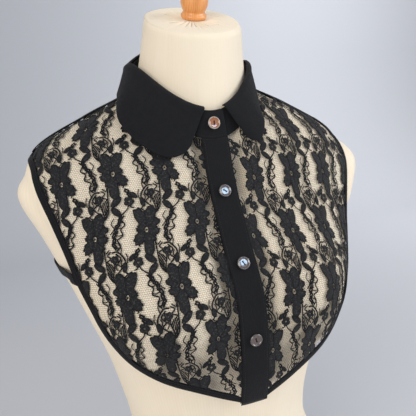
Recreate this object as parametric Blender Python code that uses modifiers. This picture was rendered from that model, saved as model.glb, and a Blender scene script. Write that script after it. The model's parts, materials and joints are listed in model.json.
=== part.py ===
"""Detachable lace collar, buttoned on a limbless dress form.

Metres, +Z up. The form stands on z = 0, its front faces -Y and the wearer's right is -X.
The tables below are in centimetres above and around the form's waist.
"""

import math

import bmesh
import bpy
import numpy as np
from mathutils import Matrix, Vector

# ---------------------------------------------------------------- driving sizes
CM = 0.01
WAIST_Z = 20.0  # cm from the flat base up to the waist

LACE_T = 0.0012  # lace panel wall
BIND_T = 0.0022  # folded bias binding, edge on
BIND_W = 0.0066  # folded bias binding, flat width
PLACKET_W = 0.0280
PLACKET_T = 0.0020
LAYER = 0.00135  # half of the step between the two buttoned layers
STAND_T = 0.0022
LEAF_T = 0.0020
STRAP_W = 0.0110
STRAP_T = 0.0014
SEAM = 0.0003  # gap between pieces at a seam
BUTTON_R = 0.0060
BUTTON_T = 0.0026
BUTTON_Z = (28.5, 21.9, 14.9)  # cm above the waist of the placket's buttons
SHOULDER_ROW = 2.16  # row of the shell on which the shoulder seam ends

# Form: one ring for each row, from the base up to the neck cap.
# fall says how the height goes from the sides to the front and the back: 1 for a hollow curve, 0.5 for a flat slant.
# shift_x moves a ring towards the wearer's left, because nothing sits quite straight on a form.
FORM_COLUMNS = ("front_z", "side_z", "back_z", "half_width", "middle_y", "front_y", "back_y", "squareness", "fall", "shift_x")
FORM = [
    (-20.0, -20.0, -20.0, 15.6, 0.5, -10.3, 11.8, 2.25, 1, 0),
    (-19.6, -19.6, -19.6, 16.0, 0.5, -10.6, 12.1, 2.25, 1, 0),
    (-10.0, -10.0, -10.0, 14.4, 0.3, -9.8, 10.5, 2.25, 1, 0),
    (0.0, 0.0, 0.0, 10.7, 0.0, -8.6, 8.0, 2.2, 1, 0),
    (9.0, 9.0, 9.0, 12.2, 0.0, -10.2, 9.0, 2.2, 1, 0),
    (17.0, 17.0, 17.0, 14.8, 0.0, -11.8, 10.4, 2.25, 1, 0),
    (24.5, 24.9, 25.0, 17.8, 0.3, -10.2, 11.0, 2.35, 1, -0.05),
    (28.5, 29.6, 30.7, 19.8, 0.3, -8.1, 10.2, 2.2, 1, 0.12),
    (30.4, 33.2, 34.1, 16.5, 0.9, -7.5, 8.9, 2.45, 1, -0.35),
    (32.2, 36.5, 37.2, 11.8, 0.2, -7.1, 7.2, 2.3, 1, 0),
    (33.6, 38.8, 39.3, 6.4, -0.3, -6.7, 5.6, 2.05, 1, -0.15),
    (36.8, 42.2, 42.6, 5.8, -0.9, -6.3, 4.4, 2.0, 0.8, 0),
    (43.3, 45.9, 48.4, 5.17, -2.2, -6.9, 3.0, 2.0, 0.5, 0.1),
    (43.8, 46.4, 48.9, 5.0, -2.1, -6.75, 2.85, 2.0, 0.5, 0.1),
]
BUST_COLUMNS = ("side_x", "height", "reach", "spread_x", "spread_z")
FORM_BUST = (8.8, 16.5, 2.8, 6.0, 6.0)

# Shell: the surface that the lace, the bindings, the placket and the straps lie on, from the neck seam down.
SHELL = [
    (33.6, 39.2, 39.8, 6.92, -0.3, -7.4, 6.1, 2.1, 1, -0.3),
    (32.3, 37.0, 37.7, 11.9, 0.2, -7.8, 7.6, 2.3, 1, -0.3),
    (30.6, 33.9, 34.9, 17.1, 0.8, -8.5, 9.5, 2.5, 1, -0.45),
    (28.2, 29.4, 31.4, 19.2, 0.5, -9.2, 11.4, 2.5, 1, -0.4),
    (24.0, 24.4, 26.0, 18.2, 0.4, -11.2, 11.9, 2.4, 1, -0.35),
    (18.0, 18.2, 20.0, 16.1, 0.2, -13.2, 11.6, 2.35, 1, -0.12),
    (11.6, 11.8, 13.6, 14.2, 0.0, -12.9, 10.9, 2.2, 1, 0),
    (5.0, 5.2, 7.0, 12.6, 0.0, -11.0, 10.3, 2.1, 1, 0),
]
SHELL_BUST = (9.6, 16.8, 2.0, 5.6, 4.6)

# Outer edge of the front, from below the shoulder seam round the armhole and the hem to the placket.
EDGE_COLUMNS = ("x", "z")
FRONT_EDGE = [
    (17.3, 30.3),
    (16.4, 27.2),
    (15.55, 24.2),
    (14.9, 21.4),
    (14.1, 18.9),
    (13.1, 16.2),
    (11.3, 13.5),
    (8.8, 11.6),
    (5.6, 10.1),
    (3.2, 8.9),
    (1.43, 8.0),
]
# Outer edge of the back, from below the shoulder seam round the armhole and the hem to the centre back.
BACK_EDGE = [
    (17.0, 31.0),
    (15.9, 28.2),
    (15.2, 25.4),
    (15.0, 23.0),
    (14.4, 20.9),
    (12.6, 19.2),
    (9.6, 18.2),
    (5.0, 17.7),
    (0.0, 17.6),
]
STRAP_Z = (21.7, 22.3)  # height of the strap's middle at the front edge and at the back edge

# Stand: rings of its seam and of its top edge.
STAND = [
    (33.78, 39.32, 39.92, 6.9, -0.3, -7.38, 6.1, 2.05, 1, -0.3),
    (35.15, 40.7, 42.6, 6.7, -0.3, -7.2, 6.05, 2.0, 1, -0.3),
    (36.45, 42.0, 45.2, 6.5, -0.35, -6.95, 5.85, 2.0, 1, -0.3),
]
STAND_END_X = 1.3

# Leaf: one section for each row, from the fold on the stand's top edge to the leaf's outer edge.
# fold and edge are degrees round the neck from the centre front towards the wearer's left.
LEAF_COLUMNS = ("fold", "edge", "edge_row", "lift_mm", "bulge_mm")
LEAF = [
    (12.0, 24.5, 0.50, 4.5, 0.3),
    (13.0, 27.0, 0.78, 4.5, 0.5),
    (15.0, 31.0, 0.94, 5.0, 0.8),
    (19.0, 35.0, 0.88, 5.0, 1.0),
    (25.0, 38.5, 0.70, 5.0, 1.2),
    (33.0, 43.0, 0.50, 5.5, 1.2),
    (44.0, 48.0, 0.22, 5.2, 0.4),
    (58.0, 59.5, 0.06, 4.2, 0.0),
    (78.0, 78.0, 0.02, 3.8, 0.0),
    (105.0, 105.0, 0.04, 3.8, 0.4),
    (140.0, 140.0, 0.20, 4.5, 1.5),
    (180.0, 180.0, 0.34, 4.2, 2.0),
    (212.0, 212.0, 0.30, 4.2, 1.8),
    (240.0, 240.0, 0.16, 4.4, 1.0),
    (262.0, 262.0, 0.14, 4.6, 0.6),
    (284.0, 285.0, 0.34, 4.8, 0.6),
    (301.0, 298.0, 0.74, 5.0, 1.0),
    (315.0, 308.0, 0.98, 5.0, 1.5),
    (327.0, 317.0, 1.19, 5.0, 1.5),
    (335.0, 324.0, 1.35, 5.0, 1.5),
    (341.0, 329.0, 1.40, 5.0, 1.2),
    (345.5, 333.5, 1.31, 5.0, 1.0),
    (349.0, 337.5, 1.05, 5.0, 0.8),
    (351.5, 339.8, 0.66, 5.0, 0.5),
    (353.5, 341.5, 0.20, 5.0, 0.3),
]

FINIAL_SHIFT = 0.002
FINIAL_COLUMNS = ("radius_mm", "height_mm")
FINIAL = [
    (0.0, 0.0), (12.6, 0.0), (13.4, 1.0), (13.8, 2.6), (13.4, 4.4), (12.2, 5.6), (11.6, 6.8),
    (12.8, 9.4), (14.2, 13.2), (14.6, 17.4), (13.8, 21.8), (11.2, 26.2), (6.8, 29.6), (0.0, 31.0),
]

COLOURS = {
    "form cloth": ((0.84, 0.76, 0.62), 0.85),
    "turned wood": ((0.72, 0.42, 0.18), 0.35),
    "black lace": ((0.016, 0.016, 0.020), 0.80),
    "black cloth": ((0.014, 0.014, 0.018), 0.75),
    "button": ((0.10, 0.075, 0.06), 0.12),
}


# ---------------------------------------------------------------- rings and edges
def slopes(rows):
    """Slopes of a curve through the rows that never passes above or below two neighbours."""
    step = np.diff(rows, axis=0)
    out = np.zeros_like(rows)
    out[0], out[-1] = step[0], step[-1]
    a, b = step[:-1], step[1:]
    same = a * b > 0
    out[1:-1] = np.where(same, 2 * a * b / np.where(same, a + b, 1), 0)
    return out


class Rings:
    """A surface through a table of closed rings. at() takes an angle round it and a row, which may be a fraction."""

    def __init__(self, table, bust=None):
        self.rows = np.array(table, float)
        self.slope = slopes(self.rows)
        self.bust = bust
        self.shifted = True

    def row(self, q):
        i = np.clip(np.floor(q).astype(int), 0, len(self.rows) - 2)
        u = (q - i)[..., None]
        r, m = self.rows, self.slope
        return (
            (2 * u**3 - 3 * u**2 + 1) * r[i]
            + (u**3 - 2 * u**2 + u) * m[i]
            + (3 * u**2 - 2 * u**3) * r[i + 1]
            + (u**3 - u**2) * m[i + 1]
        )

    def at(self, angle, q):
        """Points in metres. Angle 0 is the centre front, 90 degrees the wearer's left."""
        angle, q = np.broadcast_arrays(np.asarray(angle, float), np.asarray(q, float))
        front_z, side_z, back_z, width, middle, front_y, back_y, n, fall, shift = np.moveaxis(self.row(q), -1, 0)
        s, c = np.sin(angle), np.cos(angle)
        front = c > 0
        depth = np.where(front, middle - front_y, back_y - middle)
        r = (np.abs(s / width) ** n + np.abs(c / depth) ** n) ** (-1 / n)
        share = (r * np.abs(c) / depth) ** n
        x, y = r * s, middle - r * c
        z = side_z + (np.where(front, front_z, back_z) - side_z) * share**fall
        if self.bust:
            side_x, height, reach, spread_x, spread_z = self.bust
            swell = np.exp(-(((x - side_x) / spread_x) ** 2)) + np.exp(-(((x + side_x) / spread_x) ** 2))
            y = y - reach * swell * np.exp(-(((z - height) / spread_z) ** 2)) * front * share**0.25
        return np.stack([x + (shift if self.shifted else 0), y, z + WAIST_Z], -1) * CM

    def normal(self, angle, q, h=2e-3):
        """Unit vectors that point out of the ring."""
        angle, q = np.broadcast_arrays(np.asarray(angle, float), np.asarray(q, float))
        low, high = np.maximum(q - h, 0), np.minimum(q + h, len(self.rows) - 1)
        across = self.at(angle + h, q) - self.at(angle - h, q)
        along = self.at(angle, high) - self.at(angle, low)
        n = np.cross(across, along)
        n /= np.linalg.norm(n, axis=-1, keepdims=True)
        out = np.stack([np.sin(angle), -np.cos(angle), 0 * angle], -1)
        return n * np.sign((n * out).sum(-1, keepdims=True))

    def find(self, x, z, angle, q):
        """Angle and row of the points that have these x (before the shift) and z in cm, by Newton's steps."""
        self.shifted = False
        angle, q = np.array(angle, float), np.array(q, float)
        top = len(self.rows) - 1
        for _ in range(40):
            p = self.at(angle, q) / CM
            ex, ez = x - p[..., 0], z + WAIST_Z - p[..., 2]
            h = 1e-4
            a = (self.at(angle + h, q) / CM - p) / h
            b = (self.at(angle, np.minimum(q + h, top)) / CM - p) / h
            det = a[..., 0] * b[..., 2] - a[..., 2] * b[..., 0]
            det = np.where(np.abs(det) < 1e-6, 1e-6, det)
            da = (ex * b[..., 2] - ez * b[..., 0]) / det
            dq = (a[..., 0] * ez - a[..., 2] * ex) / det
            angle = angle + np.clip(da, -0.15, 0.15)
            q = np.clip(q + np.clip(dq, -0.3, 0.3), 0, top)
        self.shifted = True
        return angle, q

    def moved(self, angle, q, vector):
        """Angle and row after a short move along the surface, by this vector in metres."""
        h = 1e-4
        p = self.at(angle, q)
        a = (self.at(angle + h, q) - p) / h
        b = (self.at(angle, q + h) - p) / h
        aa, ab, bb = (a * a).sum(-1), (a * b).sum(-1), (b * b).sum(-1)
        av, bv = (a * vector).sum(-1), (b * vector).sum(-1)
        det = aa * bb - ab * ab
        return angle + (av * bb - bv * ab) / det, q + (bv * aa - av * ab) / det


def smooth_curve(rows, count):
    """Evenly spaced points on a curve through the rows."""
    rows = np.array(rows, float)
    m = np.gradient(rows, axis=0)
    t = np.linspace(0, len(rows) - 1, 40 * len(rows))
    i = np.minimum(t.astype(int), len(rows) - 2)
    u = (t - i)[:, None]
    fine = (
        (2 * u**3 - 3 * u**2 + 1) * rows[i]
        + (u**3 - 2 * u**2 + u) * m[i]
        + (3 * u**2 - 2 * u**3) * rows[i + 1]
        + (u**3 - u**2) * m[i + 1]
    )
    return evenly(fine, count)


def evenly(points, count):
    length = np.r_[0, np.cumsum(np.linalg.norm(np.diff(points, axis=0), axis=1))]
    at = np.linspace(0, length[-1], count)
    return np.stack([np.interp(at, length, points[:, k]) for k in range(points.shape[1])], -1)


form = Rings(FORM, FORM_BUST)
shell = Rings(SHELL, SHELL_BUST)
stand = Rings(STAND)


def edge_on_shell(table, count, back):
    """Angle and row of the outer edge's even stations, from the shoulder seam to the centre, on the wearer's left."""
    fine = 200
    tip = shell.row(np.array(SHOULDER_ROW))
    xz = smooth_curve([(tip[3], tip[1])] + table, fine)
    if back:
        first = np.linspace(math.radians(95), math.pi, fine)
    else:
        first = np.linspace(math.radians(85), math.radians(7), fine)
    rows = np.linspace(2.2, 6.2 if not back else 5.2, fine)
    angle, q = shell.find(xz[:, 0], xz[:, 1], first, rows)
    angle[0], q[0] = math.pi / 2, SHOULDER_ROW
    angle, q = np.delete(angle, [1, 2, 3, 4]), np.delete(q, [1, 2, 3, 4])
    length = np.r_[0, np.cumsum(np.linalg.norm(np.diff(shell.at(angle, q), axis=0), axis=1))]
    at = np.linspace(0, length[-1], count)
    return np.interp(at, length, angle), np.interp(at, length, q)


def inward(angle, q, distance):
    """The edge's stations moved over the shell away from the edge, and towards the inside of the panel."""
    p = shell.at(angle, q)
    along = np.gradient(p, axis=0)
    along /= np.linalg.norm(along, axis=1, keepdims=True)
    side = np.cross(shell.normal(angle, q), along)
    centre = shell.at(angle[len(angle) // 2] * 0.5 + (0 if abs(angle[-1]) < 1 else math.pi / 2), 2.5)
    if ((centre - p[len(p) // 2]) * side[len(p) // 2]).sum() < 0:
        side = -side
    return shell.moved(angle, q, side * distance)


# ---------------------------------------------------------------- solids from lofts
def wall_mesh(points, normals, middle, thickness):
    """A closed wall over a grid of points: an outer face, an inner face and the rim that joins them."""
    rows, columns = points.shape[:2]
    outer = points + normals * (middle + thickness / 2)
    inner = points + normals * (middle - thickness / 2)
    vertices = [tuple(p) for p in outer.reshape(-1, 3)] + [tuple(p) for p in inner.reshape(-1, 3)]
    k = rows * columns
    faces = []
    for i in range(rows - 1):
        for j in range(columns - 1):
            a, b, c, d = i * columns + j, i * columns + j + 1, (i + 1) * columns + j + 1, (i + 1) * columns + j
            faces += [(a, b, c, d), (d + k, c + k, b + k, a + k)]
    rim = [j for j in range(columns)]
    rim += [i * columns + columns - 1 for i in range(1, rows)]
    rim += [(rows - 1) * columns + j for j in range(columns - 2, -1, -1)]
    rim += [i * columns for i in range(rows - 2, 0, -1)]
    for a, b in zip(rim, rim[1:] + rim[:1]):
        faces.append((b, a, a + k, b + k))
    return vertices, faces


def loft_mesh(sections):
    """A closed solid through sections with equally many points, capped at both ends."""
    count, sides = sections.shape[:2]
    vertices = [tuple(p) for p in sections.reshape(-1, 3)]
    faces = [tuple(range(sides - 1, -1, -1)), tuple((count - 1) * sides + j for j in range(sides))]
    for i in range(count - 1):
        for j in range(sides):
            a, b = i * sides + j, i * sides + (j + 1) % sides
            faces.append((a, b, b + sides, a + sides))
    return vertices, faces


materials = {}


def material(name):
    if name not in materials:
        colour, roughness = COLOURS[name]
        made = bpy.data.materials.new(name)
        made.use_nodes = True
        shader = made.node_tree.nodes["Principled BSDF"]
        shader.inputs["Base Color"].default_value = (*colour, 1)
        shader.inputs["Roughness"].default_value = roughness
        shader.inputs["Metallic"].default_value = 0
        materials[name] = made
    return materials[name]


def add(name, geometry, look, smooth=True):
    mesh = bpy.data.meshes.new(name)
    mesh.from_pydata(*([geometry[0], [], geometry[1]]))
    build = bmesh.new()
    build.from_mesh(mesh)
    bmesh.ops.triangulate(build, faces=[f for f in build.faces if len(f.verts) > 4])
    bmesh.ops.recalc_face_normals(build, faces=build.faces)
    build.to_mesh(mesh)
    build.free()
    mesh.materials.append(material(look))
    if smooth:
        mesh.shade_smooth()
    thing = bpy.data.objects.new(name, mesh)
    bpy.context.scene.collection.objects.link(thing)
    return thing


# ---------------------------------------------------------------- cloth pieces
EDGE_STATIONS = 28
ARMHOLE_STATIONS = 16  # of those, from the shoulder seam to the panel's lower corner
SHOULDER_ROWS = 7
BACK_STATIONS = 26
BACK_ARMHOLE = 14


def mirrored(angle):
    return -angle


def coons(left, right, top, bottom):
    """Fills four edges. left and right run from the top down, top and bottom from left to right."""
    rows, columns = len(left), len(top)
    v = np.linspace(0, 1, rows)[:, None, None]
    u = np.linspace(0, 1, columns)[None, :, None]
    ruled_u = left[:, None] * (1 - u) + right[:, None] * u
    ruled_v = top[None] * (1 - v) + bottom[None] * v
    corners = (
        top[0] * (1 - u) * (1 - v) + top[-1] * u * (1 - v) + bottom[0] * (1 - u) * v + bottom[-1] * u * v
    )
    return ruled_u + ruled_v - corners


def shoulder_angle(q, away):
    """Angle at which a panel stops this far in front of (or behind) the shoulder seam."""
    p0 = shell.at(math.pi / 2, q)
    step = 1e-3 if away > 0 else -1e-3
    p1 = shell.at(math.pi / 2 + step, q)
    return math.pi / 2 + step * abs(away) / np.linalg.norm(p1 - p0, axis=-1)


def angle_at_x(x, q):
    """Angle near the centre front at which the shell has this x (before the shift), in cm."""
    angle = np.full(np.shape(q), 0.1)
    shell.shifted = False
    for _ in range(30):
        p = shell.at(angle, q)[..., 0] / CM
        d = (shell.at(angle + 1e-4, q)[..., 0] / CM - p) / 1e-4
        angle = angle + (x - p) / d
    shell.shifted = True
    return angle


def front_grid():
    """Angle and row of the lace front's grid on the wearer's left, and its outer edge."""
    angle, q = edge_on_shell(FRONT_EDGE, EDGE_STATIONS, False)
    in_angle, in_q = inward(angle, q, BIND_W + SEAM)
    half = (PLACKET_W / 2 + SEAM) / CM
    in_angle[-1] = angle_at_x(half, np.array(in_q[-1]))
    seam_q = np.linspace(0.0, in_q[0], SHOULDER_ROWS)
    seam_q[-1] = in_q[0]
    seam = np.stack([shoulder_angle(seam_q, -SEAM / 2), seam_q], -1)
    in_angle[0] = seam[-1, 0]
    outer = np.stack([in_angle, in_q], -1)
    right = np.concatenate([seam[:-1], outer[:ARMHOLE_STATIONS]])
    bottom = outer[ARMHOLE_STATIONS - 1 :][::-1]
    left_q = np.linspace(0, in_q[-1], len(right))
    left = np.stack([angle_at_x(half, left_q), left_q], -1)
    top_angle = np.linspace(left[0, 0], seam[0, 0], len(bottom))
    top = np.stack([top_angle, 0 * top_angle], -1)
    return coons(left, right, top, bottom), (angle, q), (in_angle, in_q)


def back_grid():
    """Angle and row of the half back's grid on the wearer's left, from the shoulder seam to the centre back."""
    angle, q = edge_on_shell(BACK_EDGE, BACK_STATIONS, True)
    angle[-1] = math.pi
    in_angle, in_q = inward(angle, q, BIND_W + SEAM)
    in_angle[-1] = math.pi
    seam_q = np.linspace(0.0, in_q[0], SHOULDER_ROWS)
    seam = np.stack([shoulder_angle(seam_q, SEAM / 2), seam_q], -1)
    in_angle[0] = seam[-1, 0]
    outer = np.stack([in_angle, in_q], -1)
    left = np.concatenate([seam[:-1], outer[:BACK_ARMHOLE]])
    bottom = outer[BACK_ARMHOLE - 1 :]
    right_q = np.linspace(0, in_q[-1], len(left))
    right = np.stack([np.full(len(left), math.pi), right_q], -1)
    top_angle = np.linspace(seam[0, 0], math.pi, len(bottom))
    top = np.stack([top_angle, 0 * top_angle], -1)
    return coons(left, right, top, bottom), (angle, q), (in_angle, in_q)


def panel(name, grid, thickness, look, side=1, middle=0.0):
    angle, q = grid[..., 0] * side, grid[..., 1]
    return add(name, wall_mesh(shell.at(angle, q), shell.normal(angle, q), middle, thickness), look)


def strip(name, outer, inner, thickness, look, side=1):
    """A folded strip between two edges on the shell: a six-cornered section with its folded edge softened."""
    (oa, oq), (ia, iq) = outer, inner
    oa, ia = oa * side, ia * side
    a, b = shell.at(oa, oq), shell.at(ia, iq)
    na, nb = shell.normal(oa, oq), shell.normal(ia, iq)
    h = thickness / 2
    c = a + (b - a) * 0.16
    section = np.stack([a - na * h * 0.45, a + na * h * 0.45, c + na * h, b + nb * h, b - nb * h, c - na * h], 1)
    return add(name, loft_mesh(section), look)


def placket(name, middle):
    """The buttoned band down the centre front, over the rows from the neck seam to below the hem."""
    rows, columns = 22, 5
    bottom_q = shell.find(0.0, FRONT_EDGE[-1][1] - 0.35, 0.0, 6.4)[1]
    q = np.linspace(0.0, float(bottom_q), rows)
    x = np.linspace(-PLACKET_W / 2, PLACKET_W / 2, columns) / CM
    angle = np.stack([np.sign(v) * angle_at_x(abs(v), q) if abs(v) > 1e-9 else 0 * q for v in x], -1)
    q = np.repeat(q[:, None], columns, 1)
    return add(name, wall_mesh(shell.at(angle, q), shell.normal(angle, q), middle, PLACKET_T), "black cloth")


def stand_step(angle):
    """How far the stand's band lies out from its rings: under at its left end, over at its right end."""
    turn = np.degrees(angle)
    under = np.clip((55 - turn) / 35, 0, 1)
    over = np.clip((turn - 300) / 42, 0, 1)
    ease = lambda t: t * t * (3 - 2 * t)
    return LAYER * (ease(over) - ease(under))


def stand_points(angle, q):
    return stand.at(angle, q) + stand.normal(angle, q) * stand_step(angle)[..., None]


def collar_stand():
    end = math.degrees(math.asin(STAND_END_X / 7.2))
    turn = np.radians(np.r_[np.linspace(-end, end, 4), np.linspace(end, 360 - end, 42)[1:-1], np.linspace(360 - end, 360 + end, 5)])
    q = np.linspace(0, 2, 4)
    angle, q = np.meshgrid(turn, q)
    # the tab's upper corner is rounded off
    near = np.clip((angle - (turn[-1] - 0.045)) / 0.045, 0, 1)
    q = q - near * (q / 2) ** 3 * 0.35
    near = np.clip((turn[0] + 0.045 - angle) / 0.045, 0, 1)
    q = q - near * (q / 2) ** 3 * 0.35
    points = stand_points(angle, q)
    return add("collar_stand", wall_mesh(points, stand.normal(angle, q), 0.0, STAND_T), "black cloth")


def leaf_sections():
    """Points of the leaf's middle surface: sections from the fold to the outer edge."""
    rows = np.array(LEAF)
    t = np.arange(len(rows))
    m = np.gradient(rows, axis=0)
    steps = np.linspace(0, len(rows) - 1, 2 * len(rows) + 5)
    i = np.minimum(steps.astype(int), len(rows) - 2)
    u = (steps - i)[:, None]
    fine = (
        (2 * u**3 - 3 * u**2 + 1) * rows[i]
        + (u**3 - 2 * u**2 + u) * m[i]
        + (3 * u**2 - 2 * u**3) * rows[i + 1]
        + (u**3 - u**2) * m[i + 1]
    )
    fold, edge, edge_q, lift, bulge = fine.T
    fold, edge = np.radians(fold), np.radians(edge)
    top = stand_points(fold, np.full(len(fold), 2.0))
    out = stand.normal(fold, np.full(len(fold), 2.0))
    up = np.array([0, 0, 1.0])
    start = top + up * 0.0019
    crown = top + up * 0.0023 + out * 0.0018
    shoulder = top + up * 0.0008 + out * 0.0037
    end = shell.at(edge, edge_q) + shell.normal(edge, edge_q) * (lift / 1000)[:, None]
    sections = [start, crown, shoulder]
    fall = end - shoulder
    side = np.gradient(shoulder, axis=0)
    away = np.cross(side, fall)
    away /= np.linalg.norm(away, axis=1, keepdims=True)
    away *= np.sign((away * out).sum(1, keepdims=True))
    for s in (0.2, 0.42, 0.64, 0.84):
        sections.append(shoulder + fall * s + away * (4 * s * (1 - s) * bulge / 1000)[:, None])
    sections.append(end)
    return np.stack(sections, 1)


def collar_leaf():
    points = leaf_sections()
    across = np.gradient(points, axis=0)
    down = np.gradient(points, axis=1)
    n = np.cross(across, down)
    n /= np.linalg.norm(n, axis=-1, keepdims=True)
    out = points - points.mean((0, 1)) * [1, 1, 0] + [0, 0, 0]
    out[..., 2] = 0.02
    flip = np.sign((n * out).sum(-1).mean())
    return add("collar_leaf", wall_mesh(points, n * flip, 0.0, LEAF_T), "black cloth")


def strap(name, side):
    """A flat band from the front's edge to the back's edge, which leaves the shell and hugs the form's side."""
    half = STRAP_W / 2 / CM
    sections = 13
    rows = []
    for offset in (-half, half):
        ends = []
        for table, back, height in ((FRONT_EDGE, False, STRAP_Z[0]), (BACK_EDGE, True, STRAP_Z[1])):
            angle, q = edge_on_shell(table, 300, back)
            z = shell.at(angle, q)[:, 2] / CM - WAIST_Z
            low = np.abs(z - height - offset) + 99 * (q < 2.9)
            k = int(np.argmin(low))
            ends.append((angle[k], q[k]))
        a = np.linspace(ends[0][0], ends[1][0], sections)
        q = np.linspace(ends[0][1], ends[1][1], sections)
        on_shell = shell.at(a * side, q)
        target = on_shell[:, 2]
        low, high = np.full(sections, 2.0), np.full(sections, 7.0)
        for _ in range(40):
            middle = (low + high) / 2
            below = form.at(a * side, middle)[:, 2] < target
            low, high = np.where(below, middle, low), np.where(below, high, middle)
        on_form = form.at(a * side, middle) + form.normal(a * side, middle) * 0.0018
        near = np.minimum(np.arange(sections), np.arange(sections)[::-1]) / 3.0
        w = np.clip(near, 0, 1)
        w = (w * w * (3 - 2 * w))[:, None]
        line = on_shell * (1 - w) + on_form * w
        for end, other in ((0, 1), (-1, -2)):
            away = line[other] - line[end]
            line[end] += away / np.linalg.norm(away) * (SEAM + 0.0002)
        rows.append(line)
    points = np.stack(rows, 1)
    along = np.gradient(points.mean(1), axis=0)
    n = np.cross(along, points[:, 1] - points[:, 0])
    n /= np.linalg.norm(n, axis=1, keepdims=True)
    if n[sections // 2, 0] * side < 0:
        n = -n
    return add(name, wall_mesh(points, np.repeat(n[:, None], 2, 1), 0.0, STRAP_T), "black cloth")


# ---------------------------------------------------------------- hard pieces
def placed(origin, axis):
    """World matrix of a part whose own +Z runs along the axis."""
    turn = Vector(axis).to_track_quat("Z", "Y").to_matrix().to_4x4()
    return Matrix.Translation(Vector(origin)) @ turn


def turned(name, profile, steps, look, matrix):
    """A profile of (radius, height) pairs in mm, turned round its own Z axis."""
    mesh = bpy.data.meshes.new(name)
    vertices = [(r / 1000, 0, h / 1000) for r, h in profile]
    mesh.from_pydata(vertices, [(i, i + 1) for i in range(len(vertices) - 1)], [])
    mesh.materials.append(material(look))
    thing = bpy.data.objects.new(name, mesh)
    bpy.context.scene.collection.objects.link(thing)
    screw = thing.modifiers.new("turning", "SCREW")
    screw.axis = "Z"
    screw.angle = math.tau
    screw.steps = screw.render_steps = steps
    screw.use_merge_vertices = True
    screw.merge_threshold = 0.00001
    screw.use_normal_calculate = True
    screw.use_smooth_shade = True
    thing.matrix_world = matrix
    return thing


def form_body():
    columns = 40
    rows = np.r_[0, 1, np.linspace(1, 5, 15)[1:], np.linspace(5, 12, 15)[1:], 13]
    angle, q = np.meshgrid(np.linspace(0, math.tau, columns, endpoint=False), rows)
    rings = form.at(angle, q)
    rings[0, :, 2] = 0.0
    top = rings[-1]
    centre = top.mean(0)
    cap_normal = np.cross(top[10] - centre, top[0] - centre)
    cap_normal /= np.linalg.norm(cap_normal)
    if cap_normal[2] < 0:
        cap_normal = -cap_normal
    flat = top - ((top - centre) @ cap_normal)[:, None] * cap_normal
    dome = [centre + (flat - centre) * s + cap_normal * h for s, h in ((0.72, 0.0012), (0.40, 0.0016))]
    sections = np.concatenate([rings, np.array(dome)])
    body = add("form_body", loft_mesh(sections), "form cloth")
    return body, centre + cap_normal * 0.0016, cap_normal


def button(name, origin, axis):
    r, t = BUTTON_R * 1000, BUTTON_T * 1000
    profile = [
        (0.0, 0.0), (r * 0.72, 0.0), (r * 0.98, t * 0.34), (r, t * 0.62),
        (r * 0.93, t * 0.96), (r * 0.80, t), (r * 0.62, t * 0.74), (0.0, t * 0.66),
    ]
    matrix = placed(origin, axis)
    made = turned(name, profile, 20, "button", matrix)
    for k, sign in enumerate((-1, 1)):
        bpy.ops.mesh.primitive_cylinder_add(vertices=8, radius=0.0008, depth=0.008, end_fill_type="NGON")
        hole = bpy.context.object
        hole.name = "%s_hole_%d" % (name, k)
        hole.matrix_world = matrix @ Matrix.Translation((0, sign * 0.00145, 0.001)) @ Matrix.Rotation(0.21, 4, "Z")
        hole.display_type = "WIRE"
        hole.hide_render = True
        cut = made.modifiers.new("hole %d" % k, "BOOLEAN")
        cut.operation = "DIFFERENCE"
        cut.solver = "EXACT"
        cut.object = hole
    return made


# ---------------------------------------------------------------- the object
def main():
    for thing in list(bpy.data.objects):
        bpy.data.objects.remove(thing, do_unlink=True)

    _, cap_centre, cap_normal = form_body()
    turned("form_finial", FINIAL, 22, "turned wood", placed(cap_centre + cap_normal * SEAM + np.array([FINIAL_SHIFT, 0, 0]), cap_normal))

    grid, outer, inner = front_grid()
    inner_edge = inward(*outer, BIND_W)
    for side, name in ((-1, "right"), (1, "left")):
        panel("lace_front_" + name, grid, LACE_T, "black lace", side)
        end = angle_at_x((PLACKET_W / 2 + SEAM) / CM, np.array([outer[1][-1], inner_edge[1][-1]]))
        oa, ia = outer[0].copy(), inner_edge[0].copy()
        oa[-1], ia[-1] = end
        seam = shoulder_angle(np.array([outer[1][0], inner_edge[1][0]]), -SEAM / 2)
        oa[0], ia[0] = seam
        strip("binding_front_" + name, (oa, outer[1]), (ia, inner_edge[1]), BIND_T, "black cloth", side)

    half, outer, inner = back_grid()
    whole = np.concatenate([half, (half[:, ::-1] * [-1, 1] + [math.tau, 0])[:, 1:]], 1)
    panel("lace_back", whole, LACE_T, "black lace")
    inner_edge = inward(*outer, BIND_W)
    inner_edge[0][-1] = math.pi
    seam = shoulder_angle(np.array([outer[1][0], inner_edge[1][0]]), SEAM / 2)
    outer[0][0], inner_edge[0][0] = seam
    both = [
        (np.r_[a, (math.tau - a[::-1])[1:]], np.r_[q, q[::-1][1:]]) for a, q in (outer, inner_edge)
    ]
    strip("binding_back", both[0], both[1], BIND_T, "black cloth")

    placket("placket_under", -LAYER)
    placket("placket_top", LAYER)
    collar_stand()
    collar_leaf()
    strap("strap_left", 1)
    strap("strap_right", -1)

    over = math.tau
    q = 1.0
    face = stand_points(np.array(over), np.array(q)) + stand.normal(over, q) * (STAND_T / 2 + SEAM)
    button("button_1", face, stand.normal(over, q))
    for k, height in enumerate(BUTTON_Z):
        _, q = shell.find(0.0, height, 0.0, 2.0 + k)
        n = shell.normal(0.0, q)
        button("button_%d" % (k + 2), shell.at(0.0, q) + n * (LAYER + PLACKET_T / 2 + SEAM), n)


main()
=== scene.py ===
"""Looks of a detachable black lace collar, buttoned on a limbless dress form.

Metres, +Z up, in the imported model's frame: the form stands on z = 0, its front faces -Y and the
wearer's right is -X. The tables of rings are in centimetres, as in the CAD source; the lace's chart
is in millimetres on the flat lace.
"""

import json
import math

import bmesh
import bpy
import numpy as np
from mathutils import Matrix, Vector
from mathutils.bvhtree import BVHTree

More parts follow.
